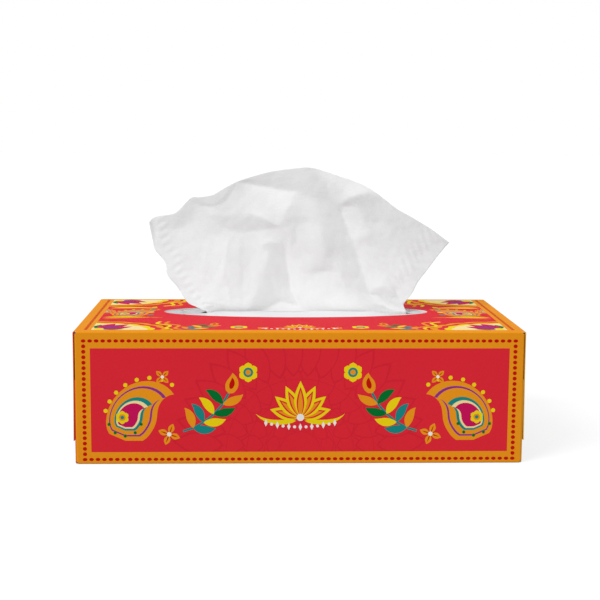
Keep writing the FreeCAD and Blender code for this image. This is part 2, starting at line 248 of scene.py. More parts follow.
@dataclass(frozen=True)
class PrintedInk:
    """Offset ink on coated board under a thin satin varnish, or the bare board.

    bounce is the brightness of the light that the print sends on to what stands near it, which
    is kept nearly neutral, so that the tissue stays white above the strong colours.
    """

    ink: Ink
    mottle: float = 0.025
    bounce: float = 0.55
    neutral: float = 0.92
    # Painted shade for the left cut edges at the box's ends and painted light for the right ones,
    # in place of the bare board's colour.
    left_edge_painted_shade: Colour = (0.900, 0.330, 0.170)
    right_edge_painted_light: Colour = (1.000, 0.740, 0.320)
    edge_paint_from: float = 0.10465

    def paint_edge_light_and_shade(self, graph: NodeGraph, place: Socket,
                tint: Socket) -> Socket:
        """Paint light and shade on the cut edges at the ends of the box: dark red-brown on the left
        as painted shade, light gold on the right as painted light.

        Args:
            graph: The finish's nodes.
            place: Place on the box.
            tint: Colour of the board elsewhere.

        Returns:
            The colour with the painted shade and light on the end edges.
        """
        x, out = graph.off_middle(place)
        past = graph.math("GREATER_THAN", out, self.edge_paint_from)
        on_left = graph.math("LESS_THAN", x, 0.0)
        edge_paint = graph.blend(on_left, linear(self.right_edge_painted_light), linear(self.left_edge_painted_shade))
        return graph.blend(past, tint, edge_paint)

    def material(self) -> bpy.types.Material:
        """Build the finish: fine mottle of the ink, slow drift over the sheet and paper grain.

        Returns:
            The material.
        """
        bare = self.ink is Ink.BOARD
        name = "bare_board" if bare else "ink_" + self.ink.name.lower()
        graph = NodeGraph(bpy.data.materials.new(name))
        place = graph.add("ShaderNodeTexCoord").outputs["Object"]
        fine = graph.speckle(place, 1400.0, 1.0 - self.mottle, 1.0 + self.mottle)
        slow = graph.speckle(place, 22.0, 0.985, 1.015, 1.0)
        shader = graph.add("ShaderNodeBsdfPrincipled", {"Specular IOR Level": 0.015})
        sent_on = graph.add("ShaderNodeLightPath").outputs["Is Diffuse Ray"]
        tint = graph.tinted(self.ink.value, graph.math("MULTIPLY", fine, slow))
        # The bare board's cut edges at the box's ends get painted shade on the left and painted
        # light on the right.
        if bare:
            tint = self.paint_edge_light_and_shade(graph, place, tint)
        grey = (self.bounce, self.bounce, self.bounce, 1.0)
        share = graph.math("MULTIPLY", sent_on, self.neutral)
        graph.join(graph.blend(share, tint, grey), shader.inputs["Base Color"])
        rough = (0.82, 0.95) if bare else (0.52, 0.62)
        graph.join(graph.speckle(place, 700.0, *rough), shader.inputs["Roughness"])
        grain = graph.speckle(place, 2600.0, 0.0, 1.0, 5.0)
        graph.join(graph.bump(grain, 0.00005 if bare else 0.000012), shader.inputs["Normal"])
        return graph.close(shader)


@dataclass(frozen=True)
class MilkyFilm:
    """Thin polyethylene, a little cloudy, with faint flow lines."""

    name: str = "milky_film"
    colour: Colour = (0.950, 0.953, 0.960)
    clearness: float = 0.06
    end_clearness: float = 0.40
    clears_from: float = 0.034
    clears_to: float = 0.056

    def material(self) -> bpy.types.Material:
        """Build the finish: cloudy white that shows more of the inside away from the tissues.

        Returns:
            The material.
        """
        graph = NodeGraph(bpy.data.materials.new(self.name))
        place = graph.add("ShaderNodeTexCoord").outputs["Object"]
        cloud = graph.speckle(place, 40.0, 0.985, 1.01, 2.0)
        shader = graph.add("ShaderNodeBsdfPrincipled", {"Specular IOR Level": 0.2})
        _, out = graph.off_middle(place)
        cover = graph.ranged(out, (1.0 - self.clearness, 1.0 - self.end_clearness),
                             (self.clears_from, self.clears_to))
        graph.join(cover, shader.inputs["Alpha"])
        graph.join(graph.tinted(self.colour, cloud), shader.inputs["Base Color"])
        graph.join(graph.speckle(place, 240.0, 0.42, 0.50), shader.inputs["Roughness"])
        flow = graph.speckle(place, 60.0, 0.0, 1.0, 2.0)
        graph.join(graph.bump(flow, 0.00002), shader.inputs["Normal"])
        return graph.close(shader)


@dataclass(frozen=True)
class TissuePaper:
    """Soft creped tissue: fine cross ridges, fibres and a matte, slightly fuzzy face."""

    name: str = "tissue_paper"
    colour: Colour = (0.988, 0.988, 0.990)
    crepe_pitch: float = 0.0007
    crepe_depth: float = 0.00004

    def material(self) -> bpy.types.Material:
        """Build the finish on the sheet's own flat coordinates, kept in its UV map.

        Returns:
            The material.
        """
        graph = NodeGraph(bpy.data.materials.new(self.name))
        place = graph.add("ShaderNodeTexCoord").outputs["UV"]
        stretch = graph.add("ShaderNodeMapping", {"Scale": (0.22, 1.0, 1.0)})
        graph.join(place, stretch.inputs["Vector"])
        ridges = graph.speckle(stretch.outputs["Vector"], 1.0 / self.crepe_pitch, 0.0, 1.0, 2.0)
        fibres = graph.speckle(place, 2400.0, 0.0, 1.0, 4.0)
        height = graph.math("ADD", ridges, fibres)
        clouds = graph.speckle(place, 260.0, 0.985, 1.01, 4.0)
        shader = graph.add("ShaderNodeBsdfPrincipled", {
            "Specular IOR Level": 0.12,
            "Sheen Weight": 0.08,
            "Sheen Roughness": 0.6,
        })
        graph.join(graph.tinted(self.colour, clouds), shader.inputs["Base Color"])
        graph.join(graph.speckle(place, 900.0, 0.88, 0.98), shader.inputs["Roughness"])
        graph.join(graph.bump(height, self.crepe_depth), shader.inputs["Normal"])
        return graph.close(shader)


@dataclass(frozen=True)
class WhiteGround:
    """Grey floor that is lifted to white for the camera and sends back little light."""

    name: str = "white_ground"
    grey: float = 0.40
    lift: float = 0.67

    def material(self) -> bpy.types.Material:
        """Build the finish: grey, with a glow for camera, glossy and transmission rays.

        Returns:
            The material.
        """
        graph = NodeGraph(bpy.data.materials.new(self.name))
        rays = graph.add("ShaderNodeLightPath")
        either = graph.math("MAXIMUM", rays.outputs["Is Camera Ray"],
                            rays.outputs["Is Glossy Ray"])
        seen = graph.math("MAXIMUM", either, rays.outputs["Is Transmission Ray"])
        place = graph.add("ShaderNodeTexCoord").outputs["Object"]
        grain = graph.speckle(place, 30.0, 0.995, 1.005)
        paper = graph.add("ShaderNodeBsdfDiffuse")
        graph.join(graph.math("MULTIPLY", grain, self.grey), paper.inputs["Color"])
        glow = graph.add("ShaderNodeEmission", {"Color": (1.0, 1.0, 1.0, 1.0)})
        graph.join(graph.math("MULTIPLY", seen, self.lift), glow.inputs["Strength"])
        both = graph.add("ShaderNodeAddShader")
        graph.join(paper.outputs[0], both.inputs[0])
        graph.join(glow.outputs[0], both.inputs[1])
        return graph.close(both)


def new_object(name: str, data: bpy.types.ID) -> bpy.types.Object:
    """Make an object and link it to the scene.

    Args:
        name: Name of the object.
        data: Its mesh, lamp or camera.

    Returns:
        The object.
    """
    thing = bpy.data.objects.new(name, data)
    bpy.context.scene.collection.objects.link(thing)
    return thing


def new_piece(name: str, points: np.ndarray | list, faces: list, finishes: list[bpy.types.Material],
              slots: list[int] | None = None) -> bpy.types.Object:
    """Make a mesh object of the part and let it ride on the part's one body.

    Args:
        name: Name of the piece.
        points: Its vertices in millimetres.
        faces: Its faces, each a list of vertex numbers.
        finishes: Its materials.
        slots: Number of the material of each face, or None if all have the first.

    Returns:
        The object.
    """
    mesh = bpy.data.meshes.new(name)
    mesh.from_pydata([tuple(c * MM for c in p) for p in points], [], faces)
    for finish in finishes:
        mesh.materials.append(finish)
    if slots is not None:
        mesh.polygons.foreach_set("material_index", slots)
    mesh.update()
    piece = new_object(name, mesh)
    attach(piece, BODY)
    return piece


def thicken(piece: bpy.types.Object, thickness: float, offset: float, inside_slot: int = 0,
            even: bool = False) -> None:
    """Give a sheet its thickness.

    Args:
        piece: The sheet, one layer of faces.
        thickness: Thickness in millimetres.
        offset: -1 to grow against the normals, 0 to grow to both sides.
        inside_slot: How many material slots further on the far side and the cut edge are.
        even: Whether the thickness is kept round a fold, which needs sound faces.
    """
    shell = piece.modifiers.new("thickness", "SOLIDIFY")
    shell.thickness = thickness * MM
    shell.offset = offset
    shell.use_even_offset = even
    shell.material_offset = inside_slot
    shell.material_offset_rim = inside_slot


def grid_faces(rows: int, columns: int, closed: bool = False) -> list[list[int]]:
    """List the faces of a grid of points stored row by row.

    Args:
        rows: Number of rows of points.
        columns: Number of points in a row.
        closed: Whether each row joins its last point to its first.

    Returns:
        Quads as lists of vertex numbers.
    """
    faces = []
    for row in range(rows - 1):
        for column in range(columns if closed else columns - 1):
            after = (column + 1) % columns
            faces.append([row * columns + column, row * columns + after,
                          (row + 1) * columns + after, (row + 1) * columns + column])
    return faces


def eased(share: float | np.ndarray) -> float | np.ndarray:
    """Smooth a share between 0 and 1, so that it sets out and arrives gently."""
    return share * share * (3 - 2 * share)


def uneven(place: Triple, scale: Triple) -> float:
    """Read a smooth noise between -1 and 1 at a place, stretched by a scale."""
    return noise.noise(Vector([along * stretch for along, stretch in zip(place, scale)]))


def beyond(x: float, y: float, distance: float, degrees: float) -> Point:
    """Find the place that lies so far from another in one direction."""
    angle = math.radians(degrees)
    return x + distance * math.cos(angle), y + distance * math.sin(angle)


def circle(x: float, y: float, radius: float, count: int = 18) -> list[Point]:
    """Outline a circle."""
    return [beyond(x, y, radius, 360.0 * i / count) for i in range(count)]


def plume(x: float, y: float, length: float, width: float, turn: float, bend: float = 0.0,
          skew: float = 1.0, full: float = 1.0, steps: int = 12) -> list[Point]:
    """Outline a petal, leaf, drop or paisley that grows from one point.

    Args:
        x: Place of its root.
        y: Place of its root.
        length: Length along its middle line.
        width: Greatest width.
        turn: Direction in which it sets out, in degrees.
        bend: How far its tip turns away from that, in degrees.
        skew: Under 1 brings the widest place towards the root.
        full: Under 1 makes the root rounder, while the tip stays pointed.
        steps: Number of steps along each side.

    Returns:
        The outline.
    """
    middle = [(x, y)]
    for step in range(steps):
        share = (step + 0.5) / steps
        angle = math.radians(turn + bend * share * share)
        middle.append((middle[-1][0] + math.cos(angle) * length / steps,
                       middle[-1][1] + math.sin(angle) * length / steps))
    left, right = [], []
    for step, (px, py) in enumerate(middle):
        share = step / steps
        angle = math.radians(turn + bend * share * share)
        swell = max(math.sin(math.pi * share ** skew), 0.0)
        half = width / 2 * swell ** (full + (1 - full) * share)
        left.append((px - math.sin(angle) * half, py + math.cos(angle) * half))
        right.append((px + math.sin(angle) * half, py - math.cos(angle) * half))
    return right + left[-2:0:-1]


def moved(points: list[Point], x: float, y: float, flip: int = 1) -> list[Point]:
    """Move an outline to a place, mirrored left to right where flip is -1."""
    return [(x + flip * px, y + py) for px, py in points]


def ribbon(points: list[Point], width: float) -> list[Point]:
    """Outline a line of one width along some points.

    Args:
        points: The points.
        width: Width of the line.

    Returns:
        The outline.
    """
    left, right = [], []
    for index, (x, y) in enumerate(points):
        bx, by = points[max(index - 1, 0)]
        ax, ay = points[min(index + 1, len(points) - 1)]
        run = math.hypot(ax - bx, ay - by)
        nx, ny = -(ay - by) / run * width / 2, (ax - bx) / run * width / 2
        left.append((x + nx, y + ny))
        right.append((x - nx, y - ny))
    return right + left[::-1]


def counter_clockwise(outline: list[Point]) -> list[Point]:
    """Order an outline counter-clockwise, as the cutting of the blank needs it."""
    area = sum(ax * by - bx * ay for (ax, ay), (bx, by) in zip(outline, outline[1:] + outline[:1]))
    return outline if area > 0 else outline[::-1]


def wave(start: Point, end: Point, swing: float, turns: float) -> list[Point]:
    """List points on a wavy line between two places.

    Args:
        start: The first place.
        end: The last place.
        swing: How far the line swings to each side.
        turns: How many times it swings to and fro.

    Returns:
        The points.
    """
    steps = 28
    dx, dy = end[0] - start[0], end[1] - start[1]
    run = math.hypot(dx, dy)
    line = []
    for step in range(steps + 1):
        share = step / steps
        side = swing * math.sin(2 * math.pi * turns * share)
        line.append((start[0] + dx * share - dy / run * side,
                     start[1] + dy * share + dx / run * side))
    return line


@dataclass
class Artwork:
    """Printed shapes of one face of the carton, in the order in which they are printed.

    Each shape is an ink and an outline, in millimetres from the middle of the face, with y
    upward as the face is read.
    """

    width: float
    height: float
    shapes: list[tuple[Ink, list[Point]]] = field(default_factory=list)

    def put(self, ink: Ink, outline: list[Point]) -> None:
        """Print one shape."""
        self.shapes.append((ink, outline))

    def rectangle(self, ink: Ink, left: float, bottom: float, right: float, top: float) -> None:
        """Print a rectangle."""
        self.put(ink, [(left, bottom), (right, bottom), (right, top), (left, top)])

    def red_field(self, left: float, right: float, bottom: float, top: float) -> None:
        """Print the red field, so wide margins in from each side, on the gold of the blank."""
        x, y = self.width / 2, self.height / 2
        self.rectangle(Ink.RED, -x + left, -y + bottom, x - right, y - top)

    def margins(self, left: float, right: float, bottom: float, top: float) -> None:
        """Print the gold border again, over whatever of the field's pattern runs under it.

        Args:
            left: Width of the border at the left.
            right: Width at the right.
            bottom: Width at the bottom.
            top: Width at the top.
        """
        x, y = self.width / 2, self.height / 2
        self.rectangle(Ink.GOLD, -x, -y, -x + left, y)
        self.rectangle(Ink.GOLD, x - right, -y, x, y)
        self.rectangle(Ink.GOLD, -x + left, -y, x - right, -y + bottom)
        self.rectangle(Ink.GOLD, -x + left, y - top, x - right, y)

    def beads(self, start: Point, end: Point, pitch: float, bead: Point) -> None:
        """Print a row of small dark red beads.

        Args:
            start: Middle of the first bead.
            end: Middle of the last bead.
            pitch: Distance between beads, fitted to a whole number.
            bead: Size of a bead along x and along y.
        """
        run = math.dist(start, end)
        count = max(round(run / pitch), 1)
        for number in range(count + 1):
            share = number / count
            x, y = start[0] + (end[0] - start[0]) * share, start[1] + (end[1] - start[1]) * share
            self.put(Ink.DARK_RED, [(x + px * bead[0] / 2, y + py * bead[1] / 2)
                                    for px, py in circle(0.0, 0.0, 1.0, 8)])

    def beaded_frame(self, left: float, right: float, bottom: float, top: float) -> None:
        """Print the beads along the middle of the border.

        Args:
            left: How far in from the left they run.
            right: How far in from the right.
            bottom: How far in from the bottom.
            top: How far in from the top.
        """
        x0, x1 = -self.width / 2 + left, self.width / 2 - right
        y0, y1 = -self.height / 2 + bottom, self.height / 2 - top
        for y in (y0, y1):
            self.beads((x0, y), (x1, y), ROW_PITCH, ROW_BEAD)
        for x in (x0, x1):
            self.beads((x, y0 + COLUMN_PITCH), (x, y1 - COLUMN_PITCH), COLUMN_PITCH, COLUMN_BEAD)

    def rosette(self, x: float, y: float, radius: float, petals: int = 6, petal: Ink = Ink.YELLOW,
                ring: Ink = Ink.TEAL, heart: Ink = Ink.GOLD) -> None:
        """Print a round flower with a ring in it.

        Args:
            x: Middle of the flower.
            y: Middle of the flower.
            radius: Its radius.
            petals: Number of petals.
            petal: Ink of the petals.
            ring: Ink of the ring.
            heart: Ink of the heart.
        """
        for number in range(petals):
            turn = 360.0 / petals * number + 90.0
            self.put(petal, plume(*beyond(x, y, radius * 0.2, turn), radius * 0.82,
                                  radius * 2.3 / petals ** 0.6, turn, skew=1.5, full=0.55, steps=9))
        self.put(ring, circle(x, y, radius * 0.50))
        self.put(heart, circle(x, y, radius * 0.28, 14))

    def blossom(self, x: float, y: float, radius: float, turn: float) -> None:
        """Print a small open blossom of four pointed gold petals with a pale heart.

        Args:
            x: Middle of the blossom.
            y: Middle of the blossom.
            radius: Length of a petal.
            turn: Direction of the first, in degrees.
        """
        for number in range(4):
            angle = turn + 90.0 * number
            self.put(Ink.GOLD, plume(x, y, radius, radius * 0.55, angle, skew=1.1))
            self.put(Ink.DARK_RED, plume(x, y, radius * 0.8, radius * 0.1, angle, steps=6))
        self.put(Ink.WHITE, circle(x, y, radius * 0.2, 12))

    def boteh(self, x: float, y: float, size: float, flip: int, lean: float = 78.0) -> None:
        """Print a large paisley drop with beads along its back and a small flower inside.

        Args:
            x: Middle of its round end.
            y: Bottom of its round end.
            size: Length along its middle line.
            flip: 1 to curl to the right, -1 to the left.
            lean: Direction in which it sets out, in degrees.
        """
        def drop(share: float) -> list[Point]:
            """Outline the drop at a share of its size."""
            long = size * share
            return plume(0.0, 0.0, long, long * 0.62, lean, -105.0, 0.62, 0.42, 22)

        for px, py in drop(1.0)[24:40:2]:
            self.put(Ink.YELLOW, circle(x + flip * px * 1.10, y + py * 1.05, size * 0.028, 8))
        for ink, share, rise in ((Ink.GOLD, 1.0, 0.0), (Ink.PURPLE, 0.84, 0.055),
                                 (Ink.GOLD, 0.78, 0.075), (Ink.TEAL, 0.56, 0.13),
                                 (Ink.CREAM, 0.47, 0.155), (Ink.MAGENTA, 0.40, 0.175)):
            self.put(ink, moved(drop(share), x, y + rise * size, flip))
        self.rosette(x - flip * size * 0.035, y + size * 0.30, size * 0.085, 6, Ink.YELLOW,
                     Ink.GOLD, Ink.TEAL)
        for step in range(5):
            place = beyond(x, y + size * 0.27, size * 0.21, 196 + 37 * step)
            self.put(Ink.GREEN, circle(*place, size * 0.022, 8))

    def sprig(self, x: float, y: float, size: float, flip: int) -> None:
        """Print an arching stem with leaves to both sides and a bud at its tip.

        Args:
            x: Foot of the stem.
            y: Foot of the stem.
            size: Size that the stem and its leaves are drawn by.
            flip: 1 to arch to the right, -1 to the left.
        """
        stem = [(0.0, 0.0), (0.16, 0.05), (0.32, 0.14), (0.48, 0.27), (0.62, 0.43), (0.72, 0.62)]
        line = ribbon([(size * a, size * b) for a, b in stem], size * 0.035)
        self.put(Ink.TEAL, moved(line, x, y, flip))
        inks = [Ink.GOLD, Ink.TEAL, Ink.YELLOW, Ink.GREEN]
        for number, (a, b) in enumerate(stem[1:5]):
            lift = 62 + 9 * number
            for side, turn, bend in ((1, lift + 38, 40.0), (-1, lift - 74, 34.0)):
                outline = plume(size * a, size * b, size * 0.36, size * 0.135, turn, bend, 0.9, 0.8)
                ink = inks[(number + (side < 0)) % 4]
                self.put(ink, moved(outline, x, y, flip))
        bud = plume(size * 0.71, size * 0.60, size * 0.34, size * 0.20, 66.0, 40.0, 0.8, 0.6)
        self.put(Ink.GOLD, moved(bud, x, y, flip))
        heart = plume(size * 0.74, size * 0.67, size * 0.19, size * 0.08, 70.0, 36.0, 0.8, 0.6)
        self.put(Ink.DARK_RED, moved(heart, x, y, flip))

    def lotus(self, x: float, y: float, size: float) -> None:
        """Print a fan of seven pointed petals that opens upward, the middle one last.

        Args:
            x: Root of the petals.
            y: Root of the petals.
            size: Length of the middle petal.
        """
        for step in (-3, 3, -2, 2, -1, 1, 0):
            angle = 90.0 + step * 25.0
            long = size * (1.0 - 0.18 * abs(step) / 7 * 2)
            for ink, share, width in ((Ink.YELLOW, 1.0, 0.34), (Ink.RED, 0.84, 0.21),
                                      (Ink.GOLD, 0.74, 0.13)):
                self.put(ink, plume(x, y, long * share, size * width, angle, skew=0.9))

    def tone_mandala(self, y: float, radii: list[float]) -> None:
        """Print half rings of petals as thin lines in a red a little darker than the field.

        Args:
            y: Height of the rings' middle.
            radii: Radius of each ring.
        """
        for number, radius in enumerate(radii):
            petals = 6 + 4 * number
            width = math.pi / petals * radius
            for step in range(petals):
                angle = 180.0 * (step + 0.5) / petals
                for ink, out, long, wide in ((Ink.TONE_RED, 0.62, 0.42, 1.05),
                                             (Ink.RED, 0.64, 0.37, 0.93)):
                    root = beyond(0.0, y, radius * out, angle)
                    self.put(ink, plume(*root, radius * long, width * wide, angle, full=0.7))
            ring = [beyond(0.0, y, radius * 0.6, 180.0 * i / 40) for i in range(41)]
            self.put(Ink.TONE_RED, ribbon(ring, 0.35))

    def corner_fan(self, x: float, y: float, reach: Point) -> None:
        """Print a cream quarter fan in a corner, with a flower in it and scalloped bands round it.

        Args:
            x: Corner of the field.
            y: Corner of the field.
            reach: How far the fan reaches along x and y, with the sign of its direction.
        """
        rx, ry = reach
        for ink, scale, scallop in ((Ink.DARK_RED, 1.36, 0.06), (Ink.GOLD, 1.30, 0.06),
                                    (Ink.RED, 1.18, 0.05), (Ink.YELLOW, 1.06, 0.05),
                                    (Ink.CREAM, 0.94, 0.04)):
            fan = [(x, y)]
            for step in range(37):
                angle = math.pi / 2 * step / 36
                out = scale + scallop * abs(math.sin(9.0 * angle))
                fan.append((x + rx * out * math.cos(angle), y + ry * out * math.sin(angle)))
            self.put(ink, fan)
        sx, sy = math.copysign(1.0, rx), math.copysign(1.0, ry)
        span = min(abs(rx), abs(ry))
        toward = math.degrees(math.atan2(sy, sx))
        root = (x + sx * span * 0.16, y + sy * span * 0.16)
        for side in (-1, 1):
            self.put(Ink.GREEN, plume(*root, span * 0.62, span * 0.26, toward + 52 * side,
                                      -20.0 * side))
            self.put(Ink.MAGENTA, plume(*root, span * 0.86, span * 0.34, toward + 27 * side,
                                        -16.0 * side, 0.9, 0.8))
        self.put(Ink.MAGENTA, plume(*root, span * 0.95, span * 0.36, toward, skew=0.9, full=0.8))
        self.put(Ink.PURPLE, plume(*root, span * 0.78, span * 0.20, toward, skew=0.9, full=0.8))
        self.put(Ink.YELLOW, circle(*root, span * 0.13, 12))


@dataclass(frozen=True)
class CartonPrint:
    """Designs the faces of the carton from their sizes, in millimetres."""

    length: float
    depth: float
    height: float
    window_back: float
    window_length: float
    window_width: float
    # Each long leaf at the top's ends: place from the window's middle, length, turn and ink.
    end_leaves: tuple[tuple[float, float, float, Ink], ...] = (
        (16.5, 30.0, -12.0, Ink.GOLD), (11.5, 25.0, 10.0, Ink.YELLOW),
        (-24.5, 31.0, 14.0, Ink.GOLD), (-20.0, 24.0, 6.0, Ink.YELLOW))
    end_margins: tuple[float, ...] = (6.6, 6.6, 5.8, 7.8)
    end_beads: tuple[float, ...] = (3.7, 3.7, 2.3, 4.3)
    window_rim: float = 1.6

    def front(self) -> Artwork:
        """Design the front panel, which the back panel repeats.

        Returns:
            The front's shapes.
        """
        art = Artwork(self.length, self.height)
        margins = (7.1, 6.9, 5.8, 7.8)
        art.red_field(*margins)
        low = -self.height / 2 + margins[2]
        art.tone_mandala(low, [16.0, 28.0, 42.0, 58.0])
        art.margins(*margins)
        art.beaded_frame(4.1, 4.2, 2.3, 4.3)
        for flip in (-1, 1):
            art.boteh(flip * 82.0, low + 5.5, 37.0, -flip)
            art.blossom(flip * 61.5, low + 8.5, 5.4, 70.0)
            art.blossom(flip * 64.5, -low - 15.5, 4.0, 45.0)
            art.sprig(flip * 55.0, low + 10.0, 30.0, -flip)
            art.rosette(flip * 24.5, low + 38.0, 4.6)
        self.medallion(art, 0.0, low + 16.5, 17.5)
        return art

    def medallion(self, art: Artwork, x: float, y: float, size: float) -> None:
        """Print the lotus with its garland that fills the middle of a long panel.

        Args:
            art: The panel's shapes so far.
            x: Root of the lotus.
            y: Root of the lotus.
            size: Length of its middle petal.
        """
        art.lotus(x, y, size)
        for flip in (-1, 1):
            horn = plume(2.0, -1.6, size * 1.15, size * 0.13, -8.0, 55.0, 0.7, 0.7)
            art.put(Ink.YELLOW, moved(horn, x, y, flip))
        art.put(Ink.WHITE, circle(x, y, size * 0.10, 14))
        for number in range(-6, 7):
            drop = 4.6 - 0.055 * number * number
            if number % 2:
                art.put(Ink.WHITE, circle(x + 2.7 * number, y - drop, 0.75, 10))
            else:
                diamond = [(0, -1.7), (0.85, 0), (0, 1.7), (-0.85, 0)]
                art.put(Ink.WHITE, moved(diamond, x + 2.7 * number, y - drop))

    def top(self) -> Artwork:
        """Design the top panel round its oval window.

        Returns:
            The top's shapes.
        """
        art = Artwork(self.length, self.depth)
        margins = (7.1, 7.1, 5.6, 3.6)
        art.red_field(*margins)
        x1 = self.length / 2 - margins[0]
        y0, y1 = -self.depth / 2 + margins[2], self.depth / 2 - margins[3]
        middle = self.depth / 2 - self.window_back
        for flip in (-1, 1):
            for y, up in ((y0, 1), (y1, -1)):
                art.corner_fan(flip * x1, y, (-flip * 27.0, up * 19.5))
                for shift, ink in ((0.0, Ink.YELLOW), (4.2, Ink.GOLD)):
                    line = wave((flip * (x1 - 38.0 - shift), y + up * 1.5),
                                (flip * (x1 - 29.5 - shift), y + up * 25.0), 2.0, 1.6)
                    art.put(ink, ribbon(line, 1.7))
            art.boteh(flip * 86.0, middle - 17.0, 29.0, -flip, 84.0)
            art.boteh(flip * 99.0, middle - 6.0, 17.0, flip, 96.0)
            for number in range(4):
                art.put(Ink.YELLOW if number % 2 else Ink.TEAL,
                        plume(flip * 75.5, middle - 13.0 + 8.4 * number, 5.4, 2.6,
                              90.0 + flip * 38.0, -30.0 * flip))
            inward = 90.0 + 90.0 * flip
            for y, long, turn, ink in self.end_leaves:
                for tint, drop, more, wide in ((Ink.DARK_RED, 0.6, 1.6, 5.0), (ink, 0.0, 0.0, 3.8)):
                    art.put(tint, plume(flip * 97.0, middle + y - drop, long + more, wide,
                                        inward - flip * turn, 24.0 * flip, 0.8))
            art.sprig(flip * 57.0, y0 + 2.0, 21.0, -flip)
            art.sprig(flip * 57.0, y1 - 16.0, 18.0, -flip)
            art.rosette(flip * 29.0, y0 + 8.0, 4.4)
            art.rosette(flip * 29.0, y1 - 8.0, 3.8)
            art.blossom(flip * 17.5, y0 + 5.2, 3.6, 45.0)
        self.medallion(art, 0.0, y0 + 7.0, 9.5)
        art.lotus(0.0, y1 - 15.0, 11.0)
        self.window_trim(art, middle)
        art.margins(*margins)
        for side in (-1, 1):
            x = side * (self.length / 2 - 4.4)
            art.beads((x, y0 + 1.0), (x, y1 - 1.0), TOP_PITCH, TOP_BEAD)
        return art

    def window_trim(self, art: Artwork, middle: float) -> None:
        """Clear a plain red rim round the window, as wide as the cutter's tolerance needs.

        Args:
            art: The top's shapes so far.
            middle: Height of the window's middle on the panel.
        """
        rim = circle(0.0, 0.0, self.window_width / 2 + self.window_rim, 72)
        stretch = self.window_length / self.window_width
        art.put(Ink.RED, [(stretch * px, middle + py) for px, py in rim])

    def end_edge(self) -> Artwork:
        """Design an end's field and border, of which the bottom flap shows the lowest strip.

        Returns:
            The end's shapes without its motifs.
        """
        art = Artwork(self.depth, self.height)
        art.red_field(*self.end_margins)
        art.beaded_frame(*self.end_beads)
        return art

    def end(self) -> Artwork:
        """Design an end of the box, which the top flap shows nearly all of.

        Returns:
            The end's shapes.
        """
        art = Artwork(self.depth, self.height)
        art.red_field(*self.end_margins)
        low = -self.height / 2 + self.end_margins[2]
        art.tone_mandala(low, [15.0, 27.0, 40.0])
        art.margins(*self.end_margins)
        art.beaded_frame(*self.end_beads)
        for flip in (-1, 1):
            art.boteh(flip * 31.0, low + 8.0, 31.0, -flip)
            art.blossom(flip * 41.0, -low - 16.0, 4.0, 45.0)
        art.rosette(0.0, low + 29.0, 8.6, 10)
        art.lotus(0.0, low + 8.0, 11.0)
        return art

    def bottom(self) -> Artwork:
        """Design the bottom panel: the plain red field in its gold border.

        Returns:
            The bottom's shapes.
        """
        art = Artwork(self.length, self.depth)
        art.red_field(7.0, 7.0, 7.0, 7.0)
        return art


@dataclass(frozen=True)
class Panel:
    """One panel of the sleeve on the flat blank, and the flap at each of its ends."""

    start: float
    width: float
    origin: Point
    along: Point
    outward: Point
    outset: float
    flap: float


